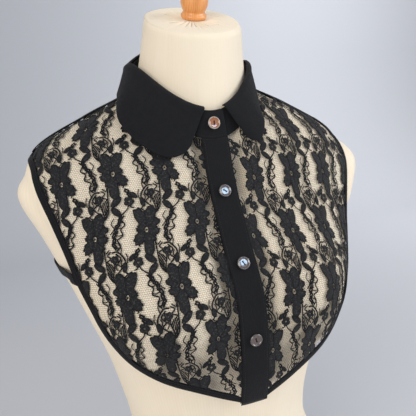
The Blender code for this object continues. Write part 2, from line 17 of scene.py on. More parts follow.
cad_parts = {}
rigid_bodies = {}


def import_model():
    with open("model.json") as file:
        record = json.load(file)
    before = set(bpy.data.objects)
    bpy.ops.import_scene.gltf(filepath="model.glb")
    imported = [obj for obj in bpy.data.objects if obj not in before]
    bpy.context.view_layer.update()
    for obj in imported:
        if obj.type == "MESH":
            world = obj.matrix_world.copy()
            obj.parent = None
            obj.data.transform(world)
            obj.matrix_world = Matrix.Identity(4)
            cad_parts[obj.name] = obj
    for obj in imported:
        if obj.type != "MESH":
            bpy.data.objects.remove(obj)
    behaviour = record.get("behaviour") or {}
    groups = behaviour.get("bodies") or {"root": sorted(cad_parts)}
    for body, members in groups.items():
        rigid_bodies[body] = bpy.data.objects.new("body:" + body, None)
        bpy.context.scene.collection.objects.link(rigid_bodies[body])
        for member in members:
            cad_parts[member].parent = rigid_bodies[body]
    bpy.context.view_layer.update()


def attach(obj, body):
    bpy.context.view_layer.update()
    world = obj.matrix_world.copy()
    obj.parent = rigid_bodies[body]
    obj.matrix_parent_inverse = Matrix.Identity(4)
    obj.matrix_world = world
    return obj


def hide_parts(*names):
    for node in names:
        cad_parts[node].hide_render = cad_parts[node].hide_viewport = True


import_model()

scene = bpy.context.scene
random = np.random.default_rng(11)


# ---------------------------------------------------------------- driving sizes
CM = 0.01
WAIST_Z = 20.0  # cm from the flat base up to the waist

LACE_T = 0.0012  # lace panel wall
BIND_T = 0.0022  # folded bias binding, edge on
BIND_W = 0.0066  # folded bias binding, flat width
PLACKET_W = 0.0280
PLACKET_T = 0.0020
LAYER = 0.00135  # half of the step between the two buttoned layers
STAND_T = 0.0022
LEAF_T = 0.0020
STRAP_W = 0.0110
STRAP_T = 0.0014
SEAM = 0.0003  # gap between pieces at a seam
BUTTON_R = 0.0060
BUTTON_T = 0.0026
BUTTON_Z = (28.5, 21.9, 14.9)  # cm above the waist of the placket's buttons
SHOULDER_ROW = 2.16  # row of the shell on which the shoulder seam ends

# Form: one ring for each row, from the base up to the neck cap.
# fall says how the height goes from the sides to the front and the back: 1 for a hollow curve, 0.5 for a flat slant.
# shift_x moves a ring towards the wearer's left, because nothing sits quite straight on a form.
FORM_COLUMNS = ("front_z", "side_z", "back_z", "half_width", "middle_y", "front_y", "back_y", "squareness", "fall", "shift_x")
FORM = [
    (-20.0, -20.0, -20.0, 15.6, 0.5, -10.3, 11.8, 2.25, 1, 0),
    (-19.6, -19.6, -19.6, 16.0, 0.5, -10.6, 12.1, 2.25, 1, 0),
    (-10.0, -10.0, -10.0, 14.4, 0.3, -9.8, 10.5, 2.25, 1, 0),
    (0.0, 0.0, 0.0, 10.7, 0.0, -8.6, 8.0, 2.2, 1, 0),
    (9.0, 9.0, 9.0, 12.2, 0.0, -10.2, 9.0, 2.2, 1, 0),
    (17.0, 17.0, 17.0, 14.8, 0.0, -11.8, 10.4, 2.25, 1, 0),
    (24.5, 24.9, 25.0, 17.8, 0.3, -10.2, 11.0, 2.35, 1, -0.05),
    (28.5, 29.6, 30.7, 19.8, 0.3, -8.1, 10.2, 2.2, 1, 0.12),
    (30.4, 33.2, 34.1, 16.5, 0.9, -7.5, 8.9, 2.45, 1, -0.35),
    (32.2, 36.5, 37.2, 11.8, 0.2, -7.1, 7.2, 2.3, 1, 0),
    (33.6, 38.8, 39.3, 6.4, -0.3, -6.7, 5.6, 2.05, 1, -0.15),
    (36.8, 42.2, 42.6, 5.8, -0.9, -6.3, 4.4, 2.0, 0.8, 0),
    (43.3, 45.9, 48.4, 5.17, -2.2, -6.9, 3.0, 2.0, 0.5, 0.1),
    (43.8, 46.4, 48.9, 5.0, -2.1, -6.75, 2.85, 2.0, 0.5, 0.1),
]
BUST_COLUMNS = ("side_x", "height", "reach", "spread_x", "spread_z")
FORM_BUST = (8.8, 16.5, 2.8, 6.0, 6.0)

# Shell: the surface that the lace, the bindings, the placket and the straps lie on, from the neck seam down.
SHELL = [
    (33.6, 39.2, 39.8, 6.92, -0.3, -7.4, 6.1, 2.1, 1, -0.3),
    (32.3, 37.0, 37.7, 11.9, 0.2, -7.8, 7.6, 2.3, 1, -0.3),
    (30.6, 33.9, 34.9, 17.1, 0.8, -8.5, 9.5, 2.5, 1, -0.45),
    (28.2, 29.4, 31.4, 19.2, 0.5, -9.2, 11.4, 2.5, 1, -0.4),
    (24.0, 24.4, 26.0, 18.2, 0.4, -11.2, 11.9, 2.4, 1, -0.35),
    (18.0, 18.2, 20.0, 16.1, 0.2, -13.2, 11.6, 2.35, 1, -0.12),
    (11.6, 11.8, 13.6, 14.2, 0.0, -12.9, 10.9, 2.2, 1, 0),
    (5.0, 5.2, 7.0, 12.6, 0.0, -11.0, 10.3, 2.1, 1, 0),
]
SHELL_BUST = (9.6, 16.8, 2.0, 5.6, 4.6)

# Outer edge of the front, from below the shoulder seam round the armhole and the hem to the placket.
EDGE_COLUMNS = ("x", "z")
FRONT_EDGE = [
    (17.3, 30.3),
    (16.4, 27.2),
    (15.55, 24.2),
    (14.9, 21.4),
    (14.1, 18.9),
    (13.1, 16.2),
    (11.3, 13.5),
    (8.8, 11.6),
    (5.6, 10.1),
    (3.2, 8.9),
    (1.43, 8.0),
]
# Outer edge of the back, from below the shoulder seam round the armhole and the hem to the centre back.
BACK_EDGE = [
    (17.0, 31.0),
    (15.9, 28.2),
    (15.2, 25.4),
    (15.0, 23.0),
    (14.4, 20.9),
    (12.6, 19.2),
    (9.6, 18.2),
    (5.0, 17.7),
    (0.0, 17.6),
]
STRAP_Z = (21.7, 22.3)  # height of the strap's middle at the front edge and at the back edge

# Stand: rings of its seam and of its top edge.
STAND = [
    (33.78, 39.32, 39.92, 6.9, -0.3, -7.38, 6.1, 2.05, 1, -0.3),
    (35.15, 40.7, 42.6, 6.7, -0.3, -7.2, 6.05, 2.0, 1, -0.3),
    (36.45, 42.0, 45.2, 6.5, -0.35, -6.95, 5.85, 2.0, 1, -0.3),
]
STAND_END_X = 1.3

# Leaf: one section for each row, from the fold on the stand's top edge to the leaf's outer edge.
# fold and edge are degrees round the neck from the centre front towards the wearer's left.
LEAF_COLUMNS = ("fold", "edge", "edge_row", "lift_mm", "bulge_mm")
LEAF = [
    (12.0, 24.5, 0.50, 4.5, 0.3),
    (13.0, 27.0, 0.78, 4.5, 0.5),
    (15.0, 31.0, 0.94, 5.0, 0.8),
    (19.0, 35.0, 0.88, 5.0, 1.0),
    (25.0, 38.5, 0.70, 5.0, 1.2),
    (33.0, 43.0, 0.50, 5.5, 1.2),
    (44.0, 48.0, 0.22, 5.2, 0.4),
    (58.0, 59.5, 0.06, 4.2, 0.0),
    (78.0, 78.0, 0.02, 3.8, 0.0),
    (105.0, 105.0, 0.04, 3.8, 0.4),
    (140.0, 140.0, 0.20, 4.5, 1.5),
    (180.0, 180.0, 0.34, 4.2, 2.0),
    (212.0, 212.0, 0.30, 4.2, 1.8),
    (240.0, 240.0, 0.16, 4.4, 1.0),
    (262.0, 262.0, 0.14, 4.6, 0.6),
    (284.0, 285.0, 0.34, 4.8, 0.6),
    (301.0, 298.0, 0.74, 5.0, 1.0),
    (315.0, 308.0, 0.98, 5.0, 1.5),
    (327.0, 317.0, 1.19, 5.0, 1.5),
    (335.0, 324.0, 1.35, 5.0, 1.5),
    (341.0, 329.0, 1.40, 5.0, 1.2),
    (345.5, 333.5, 1.31, 5.0, 1.0),
    (349.0, 337.5, 1.05, 5.0, 0.8),
    (351.5, 339.8, 0.66, 5.0, 0.5),
    (353.5, 341.5, 0.20, 5.0, 0.3),
]

FINIAL_SHIFT = 0.002
FINIAL_COLUMNS = ("radius_mm", "height_mm")
FINIAL = [
    (0.0, 0.0), (12.6, 0.0), (13.4, 1.0), (13.8, 2.6), (13.4, 4.4), (12.2, 5.6), (11.6, 6.8),
    (12.8, 9.4), (14.2, 13.2), (14.6, 17.4), (13.8, 21.8), (11.2, 26.2), (6.8, 29.6), (0.0, 31.0),
]

# ---------------------------------------------------------------- rings and edges
def slopes(rows):
    """Slopes of a curve through the rows that never passes above or below two neighbours."""
    step = np.diff(rows, axis=0)
    out = np.zeros_like(rows)
    out[0], out[-1] = step[0], step[-1]
    a, b = step[:-1], step[1:]
    same = a * b > 0
    out[1:-1] = np.where(same, 2 * a * b / np.where(same, a + b, 1), 0)
    return out


class Rings:
    """A surface through a table of closed rings. at() takes an angle round it and a row, which may be a fraction."""

    def __init__(self, table, bust=None):
        self.rows = np.array(table, float)
        self.slope = slopes(self.rows)
        self.bust = bust
        self.shifted = True

    def row(self, q):
        i = np.clip(np.floor(q).astype(int), 0, len(self.rows) - 2)
        u = (q - i)[..., None]
        r, m = self.rows, self.slope
        return (
            (2 * u**3 - 3 * u**2 + 1) * r[i]
            + (u**3 - 2 * u**2 + u) * m[i]
            + (3 * u**2 - 2 * u**3) * r[i + 1]
            + (u**3 - u**2) * m[i + 1]
        )

    def at(self, angle, q):
        """Points in metres. Angle 0 is the centre front, 90 degrees the wearer's left."""
        angle, q = np.broadcast_arrays(np.asarray(angle, float), np.asarray(q, float))
        front_z, side_z, back_z, width, middle, front_y, back_y, n, fall, shift = np.moveaxis(self.row(q), -1, 0)
        s, c = np.sin(angle), np.cos(angle)
        front = c > 0
        depth = np.where(front, middle - front_y, back_y - middle)
        r = (np.abs(s / width) ** n + np.abs(c / depth) ** n) ** (-1 / n)
        share = (r * np.abs(c) / depth) ** n
        x, y = r * s, middle - r * c
        z = side_z + (np.where(front, front_z, back_z) - side_z) * share**fall
        if self.bust:
            side_x, height, reach, spread_x, spread_z = self.bust
            swell = np.exp(-(((x - side_x) / spread_x) ** 2)) + np.exp(-(((x + side_x) / spread_x) ** 2))
            y = y - reach * swell * np.exp(-(((z - height) / spread_z) ** 2)) * front * share**0.25
        return np.stack([x + (shift if self.shifted else 0), y, z + WAIST_Z], -1) * CM

    def normal(self, angle, q, h=2e-3):
        """Unit vectors that point out of the ring."""
        angle, q = np.broadcast_arrays(np.asarray(angle, float), np.asarray(q, float))
        low, high = np.maximum(q - h, 0), np.minimum(q + h, len(self.rows) - 1)
        across = self.at(angle + h, q) - self.at(angle - h, q)
        along = self.at(angle, high) - self.at(angle, low)
        n = np.cross(across, along)
        n /= np.linalg.norm(n, axis=-1, keepdims=True)
        out = np.stack([np.sin(angle), -np.cos(angle), 0 * angle], -1)
        return n * np.sign((n * out).sum(-1, keepdims=True))

    def find(self, x, z, angle, q):
        """Angle and row of the points that have these x (before the shift) and z in cm, by Newton's steps."""
        self.shifted = False
        angle, q = np.array(angle, float), np.array(q, float)
        top = len(self.rows) - 1
        for _ in range(40):
            p = self.at(angle, q) / CM
            ex, ez = x - p[..., 0], z + WAIST_Z - p[..., 2]
            h = 1e-4
            a = (self.at(angle + h, q) / CM - p) / h
            b = (self.at(angle, np.minimum(q + h, top)) / CM - p) / h
            det = a[..., 0] * b[..., 2] - a[..., 2] * b[..., 0]
            det = np.where(np.abs(det) < 1e-6, 1e-6, det)
            da = (ex * b[..., 2] - ez * b[..., 0]) / det
            dq = (a[..., 0] * ez - a[..., 2] * ex) / det
            angle = angle + np.clip(da, -0.15, 0.15)
            q = np.clip(q + np.clip(dq, -0.3, 0.3), 0, top)
        self.shifted = True
        return angle, q

    def moved(self, angle, q, vector):
        """Angle and row after a short move along the surface, by this vector in metres."""
        h = 1e-4
        p = self.at(angle, q)
        a = (self.at(angle + h, q) - p) / h
        b = (self.at(angle, q + h) - p) / h
        aa, ab, bb = (a * a).sum(-1), (a * b).sum(-1), (b * b).sum(-1)
        av, bv = (a * vector).sum(-1), (b * vector).sum(-1)
        det = aa * bb - ab * ab
        return angle + (av * bb - bv * ab) / det, q + (bv * aa - av * ab) / det


def smooth_curve(rows, count):
    """Evenly spaced points on a curve through the rows."""
    rows = np.array(rows, float)
    m = np.gradient(rows, axis=0)
    t = np.linspace(0, len(rows) - 1, 40 * len(rows))
    i = np.minimum(t.astype(int), len(rows) - 2)
    u = (t - i)[:, None]
    fine = (
        (2 * u**3 - 3 * u**2 + 1) * rows[i]
        + (u**3 - 2 * u**2 + u) * m[i]
        + (3 * u**2 - 2 * u**3) * rows[i + 1]
        + (u**3 - u**2) * m[i + 1]
    )
    return evenly(fine, count)


def evenly(points, count):
    length = np.r_[0, np.cumsum(np.linalg.norm(np.diff(points, axis=0), axis=1))]
    at = np.linspace(0, length[-1], count)
    return np.stack([np.interp(at, length, points[:, k]) for k in range(points.shape[1])], -1)


form = Rings(FORM, FORM_BUST)
shell = Rings(SHELL, SHELL_BUST)
stand = Rings(STAND)


def edge_on_shell(table, count, back):
    """Angle and row of the outer edge's even stations, from the shoulder seam to the centre, on the wearer's left."""
    fine = 200
    tip = shell.row(np.array(SHOULDER_ROW))
    xz = smooth_curve([(tip[3], tip[1])] + table, fine)
    if back:
        first = np.linspace(math.radians(95), math.pi, fine)
    else:
        first = np.linspace(math.radians(85), math.radians(7), fine)
    rows = np.linspace(2.2, 6.2 if not back else 5.2, fine)
    angle, q = shell.find(xz[:, 0], xz[:, 1], first, rows)
    angle[0], q[0] = math.pi / 2, SHOULDER_ROW
    angle, q = np.delete(angle, [1, 2, 3, 4]), np.delete(q, [1, 2, 3, 4])
    length = np.r_[0, np.cumsum(np.linalg.norm(np.diff(shell.at(angle, q), axis=0), axis=1))]
    at = np.linspace(0, length[-1], count)
    return np.interp(at, length, angle), np.interp(at, length, q)


def inward(angle, q, distance):
    """The edge's stations moved over the shell away from the edge, and towards the inside of the panel."""
    p = shell.at(angle, q)
    along = np.gradient(p, axis=0)
    along /= np.linalg.norm(along, axis=1, keepdims=True)
    side = np.cross(shell.normal(angle, q), along)
    centre = shell.at(angle[len(angle) // 2] * 0.5 + (0 if abs(angle[-1]) < 1 else math.pi / 2), 2.5)
    if ((centre - p[len(p) // 2]) * side[len(p) // 2]).sum() < 0:
        side = -side
    return shell.moved(angle, q, side * distance)


# ---------------------------------------------------------------- cloth edges, as in the CAD source
EDGE_STATIONS = 28
ARMHOLE_STATIONS = 16  # of those, from the shoulder seam to the panel's lower corner
SHOULDER_ROWS = 7
BACK_STATIONS = 26
BACK_ARMHOLE = 14


def mirrored(angle):
    return -angle


def coons(left, right, top, bottom):
    """Fills four edges. left and right run from the top down, top and bottom from left to right."""
    rows, columns = len(left), len(top)
    v = np.linspace(0, 1, rows)[:, None, None]
    u = np.linspace(0, 1, columns)[None, :, None]
    ruled_u = left[:, None] * (1 - u) + right[:, None] * u
    ruled_v = top[None] * (1 - v) + bottom[None] * v
    corners = (
        top[0] * (1 - u) * (1 - v) + top[-1] * u * (1 - v) + bottom[0] * (1 - u) * v + bottom[-1] * u * v
    )
    return ruled_u + ruled_v - corners


def shoulder_angle(q, away):
    """Angle at which a panel stops this far in front of (or behind) the shoulder seam."""
    p0 = shell.at(math.pi / 2, q)
    step = 1e-3 if away > 0 else -1e-3
    p1 = shell.at(math.pi / 2 + step, q)
    return math.pi / 2 + step * abs(away) / np.linalg.norm(p1 - p0, axis=-1)


def angle_at_x(x, q):
    """Angle near the centre front at which the shell has this x (before the shift), in cm."""
    angle = np.full(np.shape(q), 0.1)
    shell.shifted = False
    for _ in range(30):
        p = shell.at(angle, q)[..., 0] / CM
        d = (shell.at(angle + 1e-4, q)[..., 0] / CM - p) / 1e-4
        angle = angle + (x - p) / d
    shell.shifted = True
    return angle


def front_grid():
    """Angle and row of the lace front's grid on the wearer's left, and its outer edge."""
    angle, q = edge_on_shell(FRONT_EDGE, EDGE_STATIONS, False)
    in_angle, in_q = inward(angle, q, BIND_W + SEAM)
    half = (PLACKET_W / 2 + SEAM) / CM
    in_angle[-1] = angle_at_x(half, np.array(in_q[-1]))
    seam_q = np.linspace(0.0, in_q[0], SHOULDER_ROWS)
    seam_q[-1] = in_q[0]
    seam = np.stack([shoulder_angle(seam_q, -SEAM / 2), seam_q], -1)
    in_angle[0] = seam[-1, 0]
    outer = np.stack([in_angle, in_q], -1)
    right = np.concatenate([seam[:-1], outer[:ARMHOLE_STATIONS]])
    bottom = outer[ARMHOLE_STATIONS - 1 :][::-1]
    left_q = np.linspace(0, in_q[-1], len(right))
    left = np.stack([angle_at_x(half, left_q), left_q], -1)
    top_angle = np.linspace(left[0, 0], seam[0, 0], len(bottom))
    top = np.stack([top_angle, 0 * top_angle], -1)
    return coons(left, right, top, bottom), (angle, q), (in_angle, in_q)


def back_grid():
    """Angle and row of the half back's grid on the wearer's left, from the shoulder seam to the centre back."""
    angle, q = edge_on_shell(BACK_EDGE, BACK_STATIONS, True)
    angle[-1] = math.pi
    in_angle, in_q = inward(angle, q, BIND_W + SEAM)
    in_angle[-1] = math.pi
    seam_q = np.linspace(0.0, in_q[0], SHOULDER_ROWS)
    seam = np.stack([shoulder_angle(seam_q, SEAM / 2), seam_q], -1)
    in_angle[0] = seam[-1, 0]
    outer = np.stack([in_angle, in_q], -1)
    left = np.concatenate([seam[:-1], outer[:BACK_ARMHOLE]])
    bottom = outer[BACK_ARMHOLE - 1 :]
    right_q = np.linspace(0, in_q[-1], len(left))
    right = np.stack([np.full(len(left), math.pi), right_q], -1)
    top_angle = np.linspace(seam[0, 0], math.pi, len(bottom))
    top = np.stack([top_angle, 0 * top_angle], -1)
    return coons(left, right, top, bottom), (angle, q), (in_angle, in_q)


def stand_step(angle):
    """How far the stand's band lies out from its rings: under at its left end, over at its right end."""
    turn = np.degrees(angle)
    under = np.clip((55 - turn) / 35, 0, 1)
    over = np.clip((turn - 300) / 42, 0, 1)
    ease = lambda t: t * t * (3 - 2 * t)
    return LAYER * (ease(over) - ease(under))


def stand_points(angle, q):
    return stand.at(angle, q) + stand.normal(angle, q) * stand_step(angle)[..., None]


def leaf_sections():
    """Points of the leaf's middle surface: sections from the fold to the outer edge."""
    rows = np.array(LEAF)
    t = np.arange(len(rows))
    m = np.gradient(rows, axis=0)
    steps = np.linspace(0, len(rows) - 1, 2 * len(rows) + 5)
    i = np.minimum(steps.astype(int), len(rows) - 2)
    u = (steps - i)[:, None]
    fine = (
        (2 * u**3 - 3 * u**2 + 1) * rows[i]
        + (u**3 - 2 * u**2 + u) * m[i]
        + (3 * u**2 - 2 * u**3) * rows[i + 1]
        + (u**3 - u**2) * m[i + 1]
    )
    fold, edge, edge_q, lift, bulge = fine.T
    fold, edge = np.radians(fold), np.radians(edge)
    top = stand_points(fold, np.full(len(fold), 2.0))
    out = stand.normal(fold, np.full(len(fold), 2.0))
    up = np.array([0, 0, 1.0])
    start = top + up * 0.0019
    crown = top + up * 0.0023 + out * 0.0018
    shoulder = top + up * 0.0008 + out * 0.0037
    end = shell.at(edge, edge_q) + shell.normal(edge, edge_q) * (lift / 1000)[:, None]
    sections = [start, crown, shoulder]
    fall = end - shoulder
    side = np.gradient(shoulder, axis=0)
    away = np.cross(side, fall)
    away /= np.linalg.norm(away, axis=1, keepdims=True)
    away *= np.sign((away * out).sum(1, keepdims=True))
    for s in (0.2, 0.42, 0.64, 0.84):
        sections.append(shoulder + fall * s + away * (4 * s * (1 - s) * bulge / 1000)[:, None])
    sections.append(end)
    return np.stack(sections, 1)


# ---------------------------------------------------------------- camera
def make_camera():
    azimuth, elevation, roll = math.radians(-18.1576), math.radians(8.7220), math.radians(-4.8107)
    distance, target = 0.502840, np.array([-0.001678, -0.03, 0.461002])
    back = np.array([
        math.sin(azimuth) * math.cos(elevation), -math.cos(azimuth) * math.cos(elevation), math.sin(elevation),
    ])
    right = np.cross(-back, [0, 0, 1.0])
    right /= np.linalg.norm(right)
    up = np.cross(right, -back)
    c, s = math.cos(roll), math.sin(roll)
    x, y = c * right + s * up, -s * right + c * up
    data = bpy.data.cameras.new("camera")
    data.sensor_width = 36
    data.lens = 36 * 451.016 / 416
    data.clip_start = 0.02
    camera = bpy.data.objects.new("camera", data)
    matrix = np.eye(4)
    matrix[:3, 0], matrix[:3, 1], matrix[:3, 2], matrix[:3, 3] = x, y, back, target + back * distance
    camera.matrix_world = Matrix(matrix.tolist())
    scene.collection.objects.link(camera)
    scene.camera = camera
    return target + back * distance


eye = make_camera()


# ---------------------------------------------------------------- materials
class Nodes:
    """Short names for building a material's nodes."""

    def __init__(self, name, roughness=0.8, **constants):
        self.material = bpy.data.materials.new(name)
        self.material.use_nodes = True
        self.tree = self.material.node_tree
        self.shader = self.tree.nodes["Principled BSDF"]
        self.set("Roughness", roughness)
        for key, value in constants.items():
            self.set(key.replace("_", " "), value)

    def set(self, socket, value):
        if hasattr(value, "is_output"):
            self.tree.links.new(value, self.shader.inputs[socket])
        else:
            self.shader.inputs[socket].default_value = value

    def node(self, kind, inputs=None, **settings):
        made = self.tree.nodes.new(kind)
        for key, value in settings.items():
            setattr(made, key, value)
        for key, value in (inputs or {}).items():
            if hasattr(value, "is_output"):
                self.tree.links.new(value, made.inputs[key])
            else:
                made.inputs[key].default_value = value
        return made

    def place(self, scale=(1, 1, 1), uv=None):
        source = self.node("ShaderNodeUVMap", uv_map=uv).outputs[0] if uv else self.node("ShaderNodeTexCoord").outputs["Object"]
        return self.node("ShaderNodeVectorMath", {0: source, 1: scale}, operation="MULTIPLY").outputs[0]

    def noise(self, scale, detail=3.0, rough=0.55, where=None, distortion=0.0):
        made = self.node("ShaderNodeTexNoise", {"Scale": scale, "Detail": detail, "Roughness": rough, "Distortion": distortion})
        if where is not None:
            self.tree.links.new(where, made.inputs["Vector"])
        return made.outputs["Fac"]

    def wave(self, where, scale, direction="X", distortion=0.0, profile="SIN"):
        made = self.node("ShaderNodeTexWave", {"Scale": scale, "Distortion": distortion, "Detail": 1.0}, wave_type="BANDS", bands_direction=direction, wave_profile=profile)
        self.tree.links.new(where, made.inputs["Vector"])
        return made.outputs["Fac"]

    def ramp(self, factor, *stops):
        made = self.node("ShaderNodeValToRGB", {"Fac": factor})
        ramp = made.color_ramp
        while len(ramp.elements) < len(stops):
            ramp.elements.new(0.5)
        for element, (at, colour) in zip(ramp.elements, stops):
            element.position = at
            element.color = (*colour, 1)
        return made.outputs[0]

    def range(self, factor, low, high, start=0.0, end=1.0):
        return self.node("ShaderNodeMapRange", {"Value": factor, "From Min": start, "From Max": end, "To Min": low, "To Max": high}).outputs[0]

    def maths(self, kind, a, b):
        return self.node("ShaderNodeMath", {0: a, 1: b}, operation=kind).outputs[0]

    def bump(self, height, strength, distance, over=None):
        inputs = {"Height": height, "Strength": strength, "Distance": distance}
        if over is not None:
            inputs["Normal"] = over
        return self.node("ShaderNodeBump", inputs).outputs[0]


def weave(name, dark, light, pitch=0.00055, sheen=0.07, roughness=0.88):
    """Black cloth: a plain weave on the piece's own flat metres, with slubs and worn, greyer patches."""
    m = Nodes(name, Sheen_Weight=sheen, Sheen_Roughness=0.45, Specular_IOR_Level=0.14)
    k = 1 / pitch / (2 * math.pi) * math.pi
    flat = m.place((1, 1, 1), uv="flat")
    warp = m.wave(flat, k, "X", 0.6)
    weft = m.wave(flat, k, "Y", 0.6)
    mesh = m.maths("MULTIPLY", warp, weft)
    slub = m.noise(900, 2, 0.5, m.place((1, 0.12, 1), uv="flat"))
    patch = m.noise(28, 3, 0.6)
    tone = m.maths("ADD", m.maths("MULTIPLY", mesh, 0.35), m.maths("ADD", m.maths("MULTIPLY", slub, 0.35), m.maths("MULTIPLY", patch, 0.45)))
    m.set("Base Color", m.ramp(tone, (0.2, dark), (0.85, light)))
    m.set("Roughness", m.range(slub, roughness - 0.08, roughness + 0.08, 0.3, 0.7))
    first = m.bump(mesh, 0.35, 0.00025)
    m.set("Normal", m.bump(patch, 0.25, 0.0012, first))
    return m.material


def thread(name, dark, light, pitch=0.0004, through=None):
    """Lace yarn: fine twisted hatching on the flat lace, with matt and glossier parts, and small paler specks where close work thins."""
    m = Nodes(name, Sheen_Weight=0.08, Sheen_Roughness=0.4, Specular_IOR_Level=0.2)
    flat = m.place((1, 1, 1), uv="flat")
    k = 0.5 / pitch
    lines = m.wave(flat, k, "X", 1.2)
    cross = m.wave(flat, k * 0.55, "DIAGONAL", 2.0)
    fuzz = m.noise(1400, 2, 0.6, flat)
    patch = m.noise(120, 3, 0.6, flat)
    tone = m.maths("ADD", m.maths("MULTIPLY", m.maths("MULTIPLY", lines, cross), 0.5), m.maths("ADD", m.maths("MULTIPLY", fuzz, 0.3), m.maths("MULTIPLY", patch, 0.4)))
    colour = m.ramp(tone, (0.2, dark), (0.9, light))
    if through is not None:
        speck = m.noise(620, 2, 0.65, flat)
        cell = m.noise(260, 2, 0.5, flat)
        thin = m.maths("MULTIPLY", m.range(speck, 0.0, 0.62, 0.50, 0.68), m.range(cell, 0.25, 1.0, 0.38, 0.60))
        mix = m.node("ShaderNodeMix", {"Factor": thin, "A": colour, "B": (*through, 1)}, data_type="RGBA")
        colour = mix.outputs[2]
    m.set("Base Color", colour)
    m.set("Roughness", m.range(patch, 0.62, 0.86, 0.3, 0.7))
    m.set("Normal", m.bump(m.maths("ADD", lines, cross), 0.5, 0.0002))
    return m.material


def jersey(name="form_jersey", low=(0.84, 0.71, 0.53), high=(0.93, 0.83, 0.68)):
    """The form's cream cotton jersey, with fine ribs of knit and a few soft stains."""
    m = Nodes(name, Sheen_Weight=0.15, Sheen_Roughness=0.5, Specular_IOR_Level=0.2)
    flat = m.place((1, 1, 1), uv="flat")
    ribs = m.wave(flat, 420, "X", 0.8)
    courses = m.wave(flat, 520, "Y", 0.8)
    knit = m.maths("MULTIPLY", ribs, courses)
    slub = m.noise(500, 3, 0.6, m.place((1, 0.2, 1), uv="flat"))
    patch = m.noise(9, 4, 0.6)
    wales = m.wave(flat, 74, "X", 0.5)
    streak = m.noise(260, 2, 0.6, m.place((1, 0.025, 1), uv="flat"))
    lines = m.maths("ADD", m.maths("MULTIPLY", wales, 0.10), m.maths("MULTIPLY", streak, 0.26))
    tone = m.maths("ADD", m.maths("ADD", m.maths("MULTIPLY", patch, 0.34), lines), m.maths("ADD", m.maths("MULTIPLY", knit, 0.10), m.maths("MULTIPLY", slub, 0.12)))
    m.set("Base Color", m.ramp(tone, (0.15, low), (0.75, high)))
    m.set("Roughness", m.range(slub, 0.82, 0.96, 0.3, 0.7))
    first = m.bump(knit, 0.3, 0.0002)
    m.set("Normal", m.bump(patch, 0.15, 0.003, first))
    return m.material


def pine():
    """Turned, varnished pine: long grain with darker late wood and a thin glossy coat."""
    m = Nodes("finial_pine", Coat_Weight=0.6, Coat_Roughness=0.12, Specular_IOR_Level=0.5)
    grain = m.place((1, 0.16, 1), uv="flat")
    figure = m.noise(170, 4, 0.6, grain, 0.6)
    bands = m.wave(m.place((1, 1, 0.2)), 150, "X", 2.5)
    pores = m.noise(1500, 2, 0.5, grain)
    tone = m.maths("ADD", m.maths("MULTIPLY", bands, 0.12), m.maths("ADD", m.maths("MULTIPLY", figure, 0.66), m.maths("MULTIPLY", pores, 0.18)))
    m.set("Base Color", m.ramp(tone, (0.2, (0.56, 0.19, 0.045)), (0.5, (0.80, 0.335, 0.095)), (0.85, (0.90, 0.47, 0.17))))
    m.set("Roughness", m.range(tone, 0.28, 0.48))
    m.set("Normal", m.bump(figure, 0.12, 0.0006))
    return m.material


def smoke(warm):
    """A smoky resin button: cloudy dark middle, paler turned rim, all under a clear gloss."""
    m = Nodes("button_smoke_%d" % round(warm * 10), Coat_Weight=1.0, Coat_Roughness=0.03, Coat_IOR=1.75, Specular_IOR_Level=0.7)
    place = m.place((1, 1, 1), uv="flat")
    radius = m.node("ShaderNodeSeparateXYZ", {0: place}).outputs["X"]
    cloud = m.noise(260, 4, 0.65, None, 1.2)
    dark = (0.020 + 0.10 * warm, 0.018 + 0.020 * warm, 0.018 - 0.008 * warm)
    light = (0.05 + 0.42 * warm, 0.04 + 0.095 * warm, 0.04 - 0.03 * warm)
    body = m.ramp(cloud, (0.3, dark), (0.72, light))
    pale = max(0.16, warm**3)
    edge = m.ramp(cloud, (0.2, (0.24 * pale, 0.21 * pale, 0.18 * pale)), (0.8, (0.50 * pale, 0.46 * pale, 0.40 * pale)))
    ring = m.range(radius, 0.0, 1.0, 0.80, 0.93)
    mix = m.node("ShaderNodeMix", {"Factor": ring, "A": body, "B": edge}, data_type="RGBA")
    m.set("Base Color", mix.outputs["Result"] if mix.outputs["Result"].type == "RGBA" else mix.outputs[2])
    m.set("Roughness", m.range(cloud, 0.10, 0.22))
    turned = m.node("ShaderNodeTexWave", {"Scale": 9.0, "Distortion": 0.3, "Vector": place}, wave_type="BANDS", bands_direction="X").outputs["Fac"]
    m.set("Normal", m.bump(turned, 0.05, 0.0002))
    return m.material


def plaster(name, low, high, rough):
    m = Nodes(name, Specular_IOR_Level=0.2)
    cloud = m.noise(2.2, 4, 0.6)
    grit = m.noise(90, 3, 0.6)
    m.set("Base Color", m.ramp(m.maths("ADD", m.maths("MULTIPLY", cloud, 0.8), m.maths("MULTIPLY", grit, 0.2)), (0.3, low), (0.7, high)))
    m.set("Roughness", m.range(grit, rough - 0.05, rough + 0.05))
    m.set("Normal", m.bump(grit, 0.05, 0.001))
    return m.material


CLOTH = weave("black_cotton", (0.0056, 0.0058, 0.0070), (0.0138, 0.0141, 0.0164))
TAPE = weave("black_bias_tape", (0.0045, 0.0046, 0.0056), (0.0110, 0.0112, 0.0132), 0.0005)
FILL = thread("lace_yarn_filled", (0.0042, 0.0045, 0.0056), (0.020, 0.021, 0.0245), through=(0.105, 0.098, 0.092))
CORD = thread("lace_yarn_cord", (0.0036, 0.0036, 0.0046), (0.011, 0.011, 0.0135))
NET = thread("lace_yarn_net", (0.006, 0.006, 0.0072), (0.018, 0.018, 0.021))
STITCH = thread("sewing_thread", (0.012, 0.012, 0.014), (0.045, 0.045, 0.05), 0.0003)
JERSEY = jersey()
FOLD_SHADE = jersey("form_jersey_painted_fold_shade", (0.50, 0.33, 0.19), (0.68, 0.50, 0.33))  # painted shade: a darker brown for the bottoms of the gathers, where shade falls
